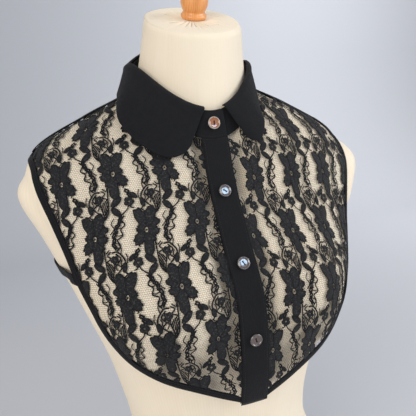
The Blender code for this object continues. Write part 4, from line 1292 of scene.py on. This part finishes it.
def front_lace_grid():
    """front_grid() with its edges moved out to where they lie hidden, on the wearer's left."""
    edge, arm, shoulder = 56, 32, 14
    angle, q = edge_on_shell(FRONT_EDGE, edge, False)
    in_angle, in_q = inward(angle, q, BIND_W + SEAM - HIDDEN)
    half = (PLACKET_W / 2 + SEAM - UNDER_BAND) / CM
    in_angle[-1] = angle_at_x(half, np.array(in_q[-1]))
    seam_q = np.linspace(0.0, in_q[0], shoulder)
    seam = np.stack([shoulder_angle(seam_q, SEAM * 0.1), seam_q], -1)
    in_angle[0] = seam[-1, 0]
    outer = np.stack([in_angle, in_q], -1)
    right = np.concatenate([seam[:-1], outer[:arm]])
    bottom = outer[arm - 1 :][::-1]
    left_q = np.linspace(0, in_q[-1], len(right))
    left = np.stack([angle_at_x(half, left_q), left_q], -1)
    top_angle = np.linspace(left[0, 0], seam[0, 0], len(bottom))
    top = np.stack([top_angle, 0 * top_angle], -1)
    return coons(left, right, top, bottom)


def back_lace_grid():
    edge, arm, shoulder = 46, 26, 12
    angle, q = edge_on_shell(BACK_EDGE, edge, True)
    angle[-1] = math.pi
    in_angle, in_q = inward(angle, q, BIND_W + SEAM - HIDDEN)
    in_angle[-1] = math.pi
    seam_q = np.linspace(0.0, in_q[0], shoulder)
    seam = np.stack([shoulder_angle(seam_q, -SEAM * 0.1), seam_q], -1)
    in_angle[0] = seam[-1, 0]
    outer = np.stack([in_angle, in_q], -1)
    left = np.concatenate([seam[:-1], outer[:arm]])
    bottom = outer[arm - 1 :]
    right_q = np.linspace(0, in_q[-1], len(left))
    right = np.stack([np.full(len(left), math.pi), right_q], -1)
    top_angle = np.linspace(seam[0, 0], math.pi, len(bottom))
    top = np.stack([top_angle, 0 * top_angle], -1)
    half = coons(left, right, top, bottom)
    return np.concatenate([half, (half[:, ::-1] * [-1, 1] + [math.tau, 0])[:, 1:]], 1)


class Flat:
    """A panel laid flat in millimetres: finds the angle and row on the shell of any point of the flat lace."""

    def __init__(self, grid, straight):
        self.angle, self.q = grid[..., 0], grid[..., 1]
        self.points = shell.at(self.angle, self.q)
        uv = flatten(self.points)
        line = uv[:, straight]
        d = unit(line[-1] - line[len(line) // 3])
        turn = -math.pi / 2 - math.atan2(d[1], d[0])
        c, s = math.cos(turn), math.sin(turn)
        uv = uv @ np.array([[c, s], [-s, c]])
        line = uv[:, straight]
        uv = uv - [line[len(line) // 2, 0], line[0, 1]]
        self.uv = uv * 1000
        rows, columns = self.angle.shape
        quads = grid_faces(rows, columns)
        self.triangles = np.concatenate([quads[:, [0, 1, 2]], quads[:, [0, 2, 3]]])
        flat = self.uv.reshape(-1, 2)
        self.tree = BVHTree.FromPolygons([(x, y, 0.0) for x, y in flat.tolist()], self.triangles.tolist())
        self.low, self.high = flat.min(0), flat.max(0)
        p = flat[self.triangles]
        e1, e2 = p[:, 1] - p[:, 0], p[:, 2] - p[:, 0]
        self.area = float(np.abs(e1[:, 0] * e2[:, 1] - e1[:, 1] * e2[:, 0]).sum() / 2) * 1e-6
        print("flat size mm", (self.high - self.low).round(1), "area m2", round(self.area, 5))

    def find(self, uv):
        """Angle, row and whether each point is on the panel."""
        down = Vector((0, 0, -1))
        cast = self.tree.ray_cast
        hit = np.array([-1 if (k := cast(Vector((x, y, 1.0)), down)[2]) is None else k for x, y in uv.tolist()])
        inside = hit >= 0
        tri = self.triangles[np.where(inside, hit, 0)]
        flat = self.uv.reshape(-1, 2)
        a, b, c = flat[tri[:, 0]], flat[tri[:, 1]], flat[tri[:, 2]]
        det = (b[:, 0] - a[:, 0]) * (c[:, 1] - a[:, 1]) - (b[:, 1] - a[:, 1]) * (c[:, 0] - a[:, 0])
        s = ((uv[:, 0] - a[:, 0]) * (c[:, 1] - a[:, 1]) - (uv[:, 1] - a[:, 1]) * (c[:, 0] - a[:, 0])) / det
        t = ((b[:, 0] - a[:, 0]) * (uv[:, 1] - a[:, 1]) - (b[:, 1] - a[:, 1]) * (uv[:, 0] - a[:, 0])) / det
        mix = lambda values: values.ravel()[tri[:, 0]] * (1 - s - t) + values.ravel()[tri[:, 1]] * s + values.ravel()[tri[:, 2]] * t
        return mix(self.angle), mix(self.q), inside


# ---------------------------------------------------------------- lace: its chart
PITCH, ROW = 49.0, 56.0  # mm from flower to flower across, and from row to row
PETALS = [  # degrees round the eyelet, length in mm, half width in degrees
    (111, 23.8, 24), (71, 23.0, 24), (147, 16.0, 22), (193, 12.8, 30), (268, 24.6, 21), (317, 16.6, 32), (20, 9.0, 38), (236, 14.0, 20),
]
VEINS = [(90, 19.0), (133, 16.0), (172, 12.5), (228, 11.5), (293, 14.5), (2, 8.2)]
FLORETS = [(11.5, -27.5, 4.9, False), (-16.0, -21.8, 3.9, True)]
LEAVES = [  # from, to, width
    (4.4, -22.4, -5.2, -30.0, 6.0), (-5.4, -31.4, 2.3, -39.4, 5.8), (-25.4, -25.6, -24.0, -34.2, 4.6), (19.6, -25.0, 13.4, -19.6, 4.2),
]
CHAINS = [
    [(1.4, -38.0), (1.6, -42.5), (-1.8, -48.0), (-4.8, -54.0), (-6.8, -60.0), (-7.0, -65.0), (-5.4, -69.5)],
    [(8.6, -16.6), (12.2, -19.2), (13.2, -23.6)],
]
TENDRILS = [  # width, then points
    (0.75, [(12.0, -31.2), (13.4, -33.2), (16.0, -33.8)]),
    (0.7, [(10.6, -31.0), (9.6, -33.8), (6.4, -36.6), (3.6, -38.8), (1.4, -41.0)]),
    (0.9, [(-14.0, -15.2), (-18.4, -14.8), (-22.6, -18.4), (-25.4, -23.0), (-25.6, -27.0)]),
    (0.7, [(-24.4, -33.0), (-26.6, -35.6), (-29.6, -36.2)]),
    (0.75, [(-6.6, -10.0), (-7.2, -19.0), (-7.8, -28.6), (-9.0, -35.8), (-12.2, -40.6)]),
    (0.8, [(-17.6, -16.6), (-21.8, -21.6), (-18.6, -26.2), (-21.8, -29.4), (-19.6, -32.4)]),
    (0.7, [(-13.2, -14.0), (-9.6, -17.0), (-12.6, -20.0), (-8.4, -22.6), (-11.0, -25.0)]),
    (0.6, [(-11.8, -12.2), (-8.0, -15.0), (-7.2, -12.0)]),
    (0.7, [(-15.4, -25.2), (-15.0, -28.6), (-13.4, -34.6), (-12.2, -40.6)]),
    (0.6, [(-8.2, -24.6), (-10.6, -29.0), (-12.4, -34.0)]), (0.6, [(-8.3, -28.0), (-10.4, -32.0), (-12.0, -37.0)]),
    (0.6, [(-9.8, -24.2), (-12.4, -28.6), (-14.0, -32.0)]), (0.6, [(-8.6, -31.4), (-10.4, -35.0), (-11.8, -39.0)]),
    (0.6, [(-11.6, -24.6), (-14.4, -29.0)]), (0.6, [(-17.0, -25.2), (-16.4, -28.6), (-18.0, -31.4)]),
    (0.6, [(-23.0, -22.4), (-21.6, -26.0), (-22.8, -28.4)]),
    (0.7, [(-19.6, -32.4), (-16.8, -35.0), (-17.4, -38.6), (-14.6, -41.4), (-12.2, -40.6)]),
    (0.6, [(-26.8, -35.8), (-23.2, -38.4), (-20.4, -36.2), (-18.0, -40.0)]),
    (0.6, [(-20.0, -18.2), (-17.0, -19.4), (-19.6, -24.0), (-17.4, -27.0)]),
    (0.6, [(7.6, -14.6), (9.4, -12.0), (12.4, -12.4)]),
    # beside the chain, and the long strokes between the flowers
    (0.75, [(5.6, -39.6), (2.6, -43.4), (5.0, -48.0), (0.6, -52.4), (2.2, -57.2), (-3.6, -61.2), (-1.4, -66.0), (-4.8, -70.4)]),
    (0.55, [(-22.4, -17.6), (-23.4, -12.4), (-21.6, -8.4)]),
    (0.5, [(-26.6, -28.0), (-28.2, -22.0), (-27.0, -17.6)]),
    (0.45, [(0.2, -44.6), (2.4, -45.6), (4.4, -46.2)]),
    (0.45, [(-2.4, -49.6), (0.4, -50.6), (2.6, -50.4)]),
    (0.45, [(-4.8, -55.8), (-1.8, -57.4), (1.8, -56.6)]),
    (0.45, [(-6.6, -63.0), (-4.4, -63.8), (-2.4, -64.2)]),
    (0.5, [(-4.4, -41.0), (-7.6, -45.6), (-5.4, -50.4), (-9.6, -55.0)]),
]


def petal_edge(angle):
    degrees = np.degrees(angle)
    out = np.full(np.shape(angle), 8.0**6)
    for centre, long, half in PETALS:
        off = np.abs((degrees - centre + 180) % 360 - 180) / half
        out = out + (long * 0.97 * np.cos(np.minimum(off, 1) * math.pi / 2) ** 0.36) ** 6
    return out ** (1 / 6) + 0.35 * np.sin(angle * 7 + 1) + 0.3 * np.sin(angle * 12)


def curve(points, step):
    p = np.array(points, float)
    if len(p) > 2:
        p = refine(p, 0, np.linspace(0, 1, 14 * len(p)))
    along = np.r_[0, np.cumsum(np.linalg.norm(np.diff(p, axis=0), axis=1))]
    at = np.linspace(0, along[-1], max(3, int(round(along[-1] / step)) + 1))
    return np.stack([np.interp(at, along, p[:, k]) for k in (0, 1)], -1), at


class Motif:
    """One repeat of the lace: points (x, y, height) in mm, and faces with a look each: 0 net, 1 filled, 2 cord."""

    def __init__(self):
        self.points, self.faces, self.looks, self.count = [], [], [], 0

    def grid(self, g, look, closed=False, flip=False):
        g = np.asarray(g, float)
        self.faces.append(grid_faces(g.shape[0], g.shape[1], self.count, closed, flip))
        self.points.append(g.reshape(-1, 3))
        self.looks.append(np.full(len(self.faces[-1]), look))
        self.count += g.shape[0] * g.shape[1]

    def cord(self, p, width, high, low=0.04, closed=False):
        t = np.roll(p, -1, 0) - np.roll(p, 1, 0) if closed else np.gradient(p, axis=0)
        t = unit(t)
        s = np.stack([-t[:, 1], t[:, 0]], -1) * (np.broadcast_to(width, len(p)) / 2)[:, None]
        rows = [np.c_[p + s, np.full(len(p), low)], np.c_[p, np.full(len(p), high)], np.c_[p - s, np.full(len(p), low)]]
        self.grid(rows, 2, closed)

    def patch(self, centre, edge, inner, angle, rings, high, crease=None):
        """A filled patch round an eyelet, padded above, one sheet thick."""
        d = np.stack([np.cos(angle), np.sin(angle)], -1)
        g = []
        for s in np.linspace(0, 1, rings):
            lift = 0.10 + high * math.sin(math.pi * min(0.06 + 0.88 * s, 1))
            lift = lift * (1 if crease is None else crease)
            g.append(np.c_[centre + d * (inner + (edge - inner) * s)[:, None], np.broadcast_to(lift, len(angle))])
        self.grid(g, 1, True)

    def flower(self):
        n = 120
        angle = np.linspace(0, math.tau, n, endpoint=False)
        edge = petal_edge(angle)
        edge = 0.25 * np.roll(edge, 1) + 0.5 * edge + 0.25 * np.roll(edge, -1)
        edge = edge + 1.5 * np.abs(np.sin(angle * 15 + 0.4)) - 0.9 + 0.5 * np.sin(angle * 23 + 2)
        inner = 1 / np.sqrt((np.cos(angle) / 1.75) ** 2 + (np.sin(angle) / 2.45) ** 2)
        near = np.min([np.abs((angle - math.radians(a) + math.pi) % math.tau - math.pi) for a, _ in VEINS], axis=0)
        self.patch(np.zeros(2), edge, inner, angle, 5, 0.34, 0.55 + 0.45 * np.clip(near / 0.2, 0, 1))
        d = np.stack([np.cos(angle), np.sin(angle)], -1)
        self.cord(d * (edge - 0.35)[:, None], 1.0, 0.62, closed=True)
        self.cord(d * (inner + 0.35)[:, None], 0.9, 0.6, closed=True)
        for a, long in VEINS:
            e = np.array([math.cos(math.radians(a)), math.sin(math.radians(a))])
            p, _ = curve([e * 2.9, e * (2.9 + long) / 2 + 0.6 * np.array([-e[1], e[0]]), e * (long - 0.3)], 1.5)
            self.cord(p, 0.6, 0.6, 0.22)
        ring = np.linspace(0, math.tau, 12, endpoint=False)
        dot = np.stack([0.72 * np.cos(ring), 1.1 * np.sin(ring)], -1)
        self.grid([np.c_[dot * 0.03, np.full(12, 0.38)], np.c_[dot, np.full(12, 0.05)]], 2, True)
        for a in (35, 145, 215, 325):
            e = np.array([math.cos(math.radians(a)), math.sin(math.radians(a))])
            self.cord(np.array([e * 0.5, e * 1.4, e * 2.3]), 0.24, 0.12)

    def floret(self, x, y, size, dark):
        angle = np.linspace(0, math.tau, 45, endpoint=False)
        edge = size * (0.66 + 0.34 * np.abs(np.cos(angle * 2.5 + 0.4)) ** 0.6)
        inner = np.full(45, 0.55 if dark else 0.95)
        centre = np.array([x, y])
        self.patch(centre, edge, inner, angle, 4, 0.30)
        d = np.stack([np.cos(angle), np.sin(angle)], -1)
        self.cord(centre + d * (edge - 0.2)[:, None], 0.75, 0.55, closed=True)
        self.cord(centre + d * (inner + 0.2)[:, None], 0.5, 0.5, closed=True)
        if not dark:
            ring = np.linspace(0, math.tau, 8, endpoint=False)
            dot = 0.34 * np.stack([np.cos(ring), np.sin(ring)], -1)
            self.grid([np.c_[centre + dot * 0.05, np.full(8, 0.3)], np.c_[centre + dot, np.full(8, 0.05)]], 2, True)

    def leaf(self, x0, y0, x1, y1, width):
        a, b = np.array([x0, y0]), np.array([x1, y1])
        t = unit(b - a)
        s = np.array([-t[1], t[0]])
        u = np.linspace(0, 1, 10)
        half = width / 2 * np.sin(math.pi * (0.07 + 0.86 * u)) ** 0.7
        spine = a + np.outer(u, b - a)
        ribs = [np.c_[spine + np.outer(half * w, s), np.full(10, h)] for w, h in ((-1, -0.1), (-0.98, 0.12), (-0.5, 0.42), (0, 0.26), (0.5, 0.42), (0.98, 0.12), (1, -0.1))]
        self.grid(ribs, 1)
        edge = np.concatenate([spine + np.outer(half, s), (spine - np.outer(half, s))[::-1]])
        self.cord(edge, 0.55, 0.5, closed=True)
        for k in range(1, 9, 2):  # the hatching across it
            self.cord(np.array([spine[k] - s * half[k] * 0.8, spine[k] + t * 0.5, spine[k] + s * half[k] * 0.8]), 0.4, 0.56, 0.3)

    def chain(self, points):
        """Two cords that cross and part again, like a row of beads."""
        p, at = curve(points, 0.85)
        t = unit(np.gradient(p, axis=0))
        s = np.stack([-t[:, 1], t[:, 0]], -1)
        p = p + s * (0.55 * np.sin(at * 0.83) + 0.35 * np.sin(at * 1.9 + 1))[:, None]
        bead = np.abs(np.sin(at * math.pi / 4.5))
        for side in (-1, 1):
            self.cord(p + s * (side * (0.42 + 0.80 * bead))[:, None], 1.55 + 0.95 * (1 - bead), 0.6)


def draw_motif():
    m = Motif()
    m.flower()
    for row in FLORETS:
        m.floret(*row)
    for row in LEAVES:
        m.leaf(*row)
    for row in CHAINS:
        m.chain(row)
    for width, row in TENDRILS:
        m.cord(curve(row, 1.25)[0], width * 1.25 + 0.35, 0.45)
    return np.concatenate(m.points), np.concatenate(m.faces), np.concatenate(m.looks)


def hexagon_net(low, high, pitch, width):
    """Net of hexagons: corners of its threads' joints, and for each quad and triangle its corners' numbers."""
    step = np.array([[pitch, 0], [pitch / 2, pitch * math.sqrt(3) / 2]])
    side = pitch / math.sqrt(3)
    rows = int((high[1] - low[1]) / step[1, 1]) + 3
    columns = int((high[0] - low[0]) / pitch) + 3
    j, i = np.meshgrid(np.arange(rows), np.arange(columns), indexing="ij")
    k = i - j // 2  # keeps the block upright
    joint = low + k[..., None] * step[0] + j[..., None] * step[1]
    number = np.full((rows + 2, columns + rows + 6), -1)
    shift = rows // 2 + 2
    number[j, k + shift] = np.arange(rows * columns).reshape(rows, columns)
    other = lambda dk, dj: number[j + dj, k + dk + shift]
    reach = width / math.sqrt(3)
    ray = lambda degrees: reach * np.array([math.cos(math.radians(degrees)), math.sin(math.radians(degrees))])
    first = np.array([ray(-30), ray(90), ray(210)])
    second = np.array([ray(150), ray(270), ray(30)])
    upper = joint.reshape(-1, 2)
    lower = upper + [0, -side]
    count = len(upper)
    centres = np.concatenate([upper, lower])
    corners = np.concatenate([upper[:, None] + first, lower[:, None] + second]).reshape(-1, 2)
    me = np.arange(count)
    links = []  # joint from each side, and the four corners
    up = other(0, 1).ravel()
    left = other(-1, 1).ravel()
    for to, mine, theirs in ((me, (0, 2), (2, 0)), (up, (1, 0), (1, 0)), (left, (1, 2), (1, 2))):
        ok = to >= 0
        a, b = me[ok], to[ok] + count
        links.append((a, b, np.stack([3 * a + mine[0], 3 * a + mine[1], 3 * b + theirs[0], 3 * b + theirs[1]], -1)))
    return centres, corners, links


NET_PITCH, NET_THREAD = 2.12, 0.20


def lay_lace(name, node, panel, origin, column, row, odd_mirrored, drop=lambda p: np.ones(len(p)), halves=False):
    """Lays the repeats and the net on one flat panel and folds them back on to the shell."""
    motif, motif_faces, motif_looks = draw_motif()
    origin, column, row = np.array(origin), np.array(column), np.array(row)
    across, down = column / PITCH, -row / ROW
    low, high = panel.low - 40, panel.high + 80
    flowers = []
    basis = np.stack([column, row], 1)
    inverse = np.linalg.inv(basis)
    box = np.array([[low[0], low[1]], [low[0], high[1]], [high[0], low[1]], [high[0], high[1]]])
    ij = (box - origin) @ inverse.T
    for j in range(math.floor(ij[:, 1].min()), math.ceil(ij[:, 1].max()) + 1):
        for i in range(math.floor(ij[:, 0].min()), math.ceil(ij[:, 0].max()) + 1):
            flowers.append((origin + column * (i + (0.5 if j % 2 else 0)) + row * j, -1 if (j % 2 == 1) == odd_mirrored else 1))
    flats, heights, faces, looks, uvs, start = [], [], [], [], [], 0
    tile_low, tile_high = motif.min(0), motif.max(0)
    for centre, mirror in flowers:
        if centre[0] < panel.low[0] - 32 or centre[0] > panel.high[0] + 32 or centre[1] < panel.low[1] - 28 or centre[1] > panel.high[1] + 74:
            continue
        flats.append(centre + motif[:, :1] * mirror * across + motif[:, 1:2] * down)
        heights.append(motif[:, 2])
        faces.append((motif_faces[:, ::-1] if mirror < 0 else motif_faces) + start)
        looks.append(motif_looks)
        start += len(motif)
    # net, left out where a filled flower covers it
    centres, corners, links = hexagon_net(panel.low, panel.high, NET_PITCH, NET_THREAD)
    places = np.array([c for c, _ in flowers])
    mirrors = np.array([m for _, m in flowers])
    frame2 = np.linalg.inv(np.stack([across, down], 1))
    wobble = 0.09 * np.stack([np.sin(centres[:, 0] * 2.1 + centres[:, 1] * 1.3), np.sin(centres[:, 1] * 1.9 - centres[:, 0] * 1.1)], -1)
    corners = corners + np.repeat(wobble, 3, axis=0)
    covered = np.zeros(len(centres), bool)
    for centre, mirror in flowers:
        near = np.abs(centres - centre).max(1) < 30
        local = (centres[near] - centre) @ frame2.T * [mirror, 1]
        r, t = np.hypot(local[:, 0], local[:, 1]), np.arctan2(local[:, 1], local[:, 0])
        covered[near] |= r < petal_edge(t) - 0.9
    keep = [(~covered[a]) | (~covered[b]) for a, b, _ in links]
    net_quads = np.concatenate([q[k] for (_, _, q), k in zip(links, keep)]) + start
    joints = np.zeros(len(centres), bool)
    for (a, b, _), k in zip(links, keep):
        joints[a[k]] = joints[b[k]] = True
    net_triangles = np.arange(len(corners)).reshape(-1, 3)[joints] + start
    flats.append(corners)
    heights.append(np.zeros(len(corners)))
    uv = np.concatenate(flats)
    high_mm = np.concatenate(heights)
    angle, q, inside = panel.find(uv)
    quads = np.concatenate(faces + [net_quads])
    quad_looks = np.concatenate(looks + [np.zeros(len(net_quads), int)])
    ok = inside[quads].all(1)
    quads, quad_looks = quads[ok], quad_looks[ok]
    net_triangles = net_triangles[inside[net_triangles].all(1)]
    if halves:  # one cut piece, laid in two meshes that meet along the centre back
        done = []
        for sign, tag in ((-1, "_left"), (1, "_right")):  # the flat back runs from the wearer's left to right
            part = (sign * uv[quads].mean(1)[:, 0] >= 0) if sign > 0 else (uv[quads].mean(1)[:, 0] < 0)
            tri = (uv[net_triangles].mean(1)[:, 0] >= 0) == (sign > 0)
            done.append(fold_back(name + tag, node, uv, angle, q, high_mm, quads[part], quad_looks[part], net_triangles[tri], drop))
        return done
    return fold_back(name, node, uv, angle, q, high_mm, quads, quad_looks, net_triangles, drop)


def fold_back(name, node, uv, angle, q, high_mm, quads, quad_looks, net_triangles, drop):
    """Puts flat faces where they lie on the shell, as one piece."""
    used = np.zeros(len(uv), bool)
    used[quads.ravel()] = True
    # a joint with no thread left goes too
    net_triangles = net_triangles[used[net_triangles].any(1)]
    used[net_triangles.ravel()] = True
    number = np.cumsum(used) - 1
    quads, net_triangles = number[quads], number[net_triangles]
    angle, q, high_mm, uv = angle[used], q[used], high_mm[used], uv[used]
    points, normals = shell.at(angle, q), shell.normal(angle, q)
    ripple = 0.00022 * soft_noise(uv[:, 0] / 1000, uv[:, 1] / 1000, 0.016, 41)
    lift = (high_mm / 1000 + 0.00005) * drop(points) + ripple * drop(points)
    points = points + normals * lift[:, None]
    made = piece(name, points, [quads, net_triangles], [NET, FILL, CORD], uv / 1000, np.concatenate([quad_looks, np.zeros(len(net_triangles), int)]), nodes=[node])
    print(name, "triangles", 2 * len(quads) + len(net_triangles))
    return made


def make_lace():
    near_band = lambda p: np.clip((np.abs(p[:, 0] - 0.0) - 0.0132) / 0.0022, 0.3, 1)
    grid = front_lace_grid()
    right = Flat(grid[:, ::-1] * [-1, 1], -1)
    left = Flat(grid, 0)
    back = back_lace_grid()
    yoke = Flat(back, back.shape[1] // 2)
    shift = (UNDER_BAND) * 1000
    lay_lace("lace_right", "lace_front_right", right, (-139.9 - shift, -33.3), (48.5, 2.8), (0.9, -56.7), True, near_band)
    lay_lace("lace_left", "lace_front_left", left, (-21.4 + shift, -42.9), (43.9, -3.7), (0.7, -59.8), False, near_band)
    lay_lace("lace_yoke_back", "lace_back", yoke, (0.0, -52.0), (48.5, 0.0), (0.0, -57.0), True, halves=True)



# ---------------------------------------------------------------- stage and light
def make_stage():
    """A pale floor that curves up into a plain backdrop, with painted light: its colour is paler to the right and
    towards the front.
    """
    columns = np.linspace(-6, 6, 25)
    profile = [(-4.0, 0.0), (-2.0, 0.0), (0.0, 0.0), (1.2, 0.0), (1.8, 0.0)]
    for t in np.linspace(0, 90, 16)[1:]:
        a = math.radians(t)
        profile.append((1.8 + 1.2 * math.sin(a), 1.2 * (1 - math.cos(a))))
    profile += [(3.0, 2.0), (3.0, 3.0), (3.0, 4.5)]
    profile = np.array(profile)
    points = np.stack(np.broadcast_arrays(columns[None], profile[:, :1], profile[:, 1:]), -1)
    mesh = bpy.data.meshes.new("floor")
    mesh.from_pydata([tuple(p) for p in points.reshape(-1, 3)], [], grid_faces(*points.shape[:2]).tolist())
    mesh.shade_smooth()
    m = Nodes("pale_floor_painted_light", Specular_IOR_Level=0.15)
    place = m.place((1, 1, 1))
    painted_light_x = m.node("ShaderNodeSeparateXYZ", {0: place}).outputs["X"]
    cloud = m.noise(1.1, 3, 0.5)
    painted_light_y = m.node("ShaderNodeSeparateXYZ", {0: place}).outputs["Y"]
    # painted light: paler towards +X, where the window lights the backdrop, and paler on the near floor, standing in
    # for the light falling off farther back
    tone = m.maths("ADD", m.range(painted_light_x, 0.0, 0.7, -2.6, 1.6), m.maths("ADD", m.range(cloud, -0.05, 0.05), m.range(painted_light_y, 0.3, 0.0, 0.8, 2.9)))
    m.set("Base Color", m.ramp(tone, (0.0, (0.415, 0.43, 0.465)), (1.0, (0.645, 0.65, 0.685))))
    m.set("Roughness", m.range(cloud, 0.85, 0.95))
    m.set("Normal", m.bump(m.noise(60, 3, 0.6), 0.04, 0.002))
    mesh.materials.append(m.material)
    floor = bpy.data.objects.new("floor", mesh)
    scene.collection.objects.link(floor)
    floor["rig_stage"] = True


def lamp(name, place, target, size, power, colour):
    data = bpy.data.lights.new(name, "AREA")
    data.shape = "RECTANGLE"
    data.size, data.size_y = size
    data.energy = power
    data.color = colour
    made = bpy.data.objects.new(name, data)
    made.location = place
    made.rotation_mode = "QUATERNION"
    made.rotation_quaternion = (Vector(place) - Vector(target)).to_track_quat("Z", "Y")
    scene.collection.objects.link(made)
    return made


def make_lights():
    heart = (0, 0, 0.45)
    lamp("window_right", (2.15, -1.15, 1.3), heart, (1.4, 1.4), 34, (0.975, 0.985, 1.0))
    lamp("sky_pane", (1.24, -2.93, 2.06), (0.0, -0.11, 0.40), (0.58, 0.52), 9.0, (0.50, 0.74, 1.0))
    lamp("room_left", (-1.75, -1.85, 1.15), heart, (1.5, 1.5), 35, (1.0, 0.965, 0.90))
    lamp("ceiling", (0.0, 0.0, 2.4), heart, (2.2, 2.2), 1, (1.0, 1.0, 1.0))
    lamp("backdrop_right", (2.0, 1.2, 2.0), (1.6, 3.0, 1.0), (1.5, 1.5), 26, (0.95, 0.98, 1.0))
    world = bpy.data.worlds.new("room")
    world.use_nodes = True
    world.node_tree.nodes["Background"].inputs["Color"].default_value = (0.93, 0.94, 0.96, 1)
    world.node_tree.nodes["Background"].inputs["Strength"].default_value = 0.56
    scene.world = world
    scene.view_settings.view_transform = "Standard"
    scene.view_settings.look = "None"


# ---------------------------------------------------------------- the object
def main():
    cap_centre, cap_normal = make_form()
    make_finial(cap_centre, cap_normal)
    make_lace()
    make_bindings()
    make_shoulders()
    make_placket()
    make_stand()
    make_leaf()
    make_strap("side_strap_left", "strap_left", 1)
    make_strap("side_strap_right", "strap_right", -1)
    make_buttons()
    make_stage()
    make_lights()


main()
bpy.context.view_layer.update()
total = 0
for thing in scene.objects:
    if thing.type == "MESH" and not thing.hide_render and not thing.get("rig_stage"):
        thing.data.calc_loop_triangles()
        total += len(thing.data.loop_triangles)
        if len(thing.data.loop_triangles) > 150000:
            print(thing.name, len(thing.data.loop_triangles))
print("triangles in all", total)
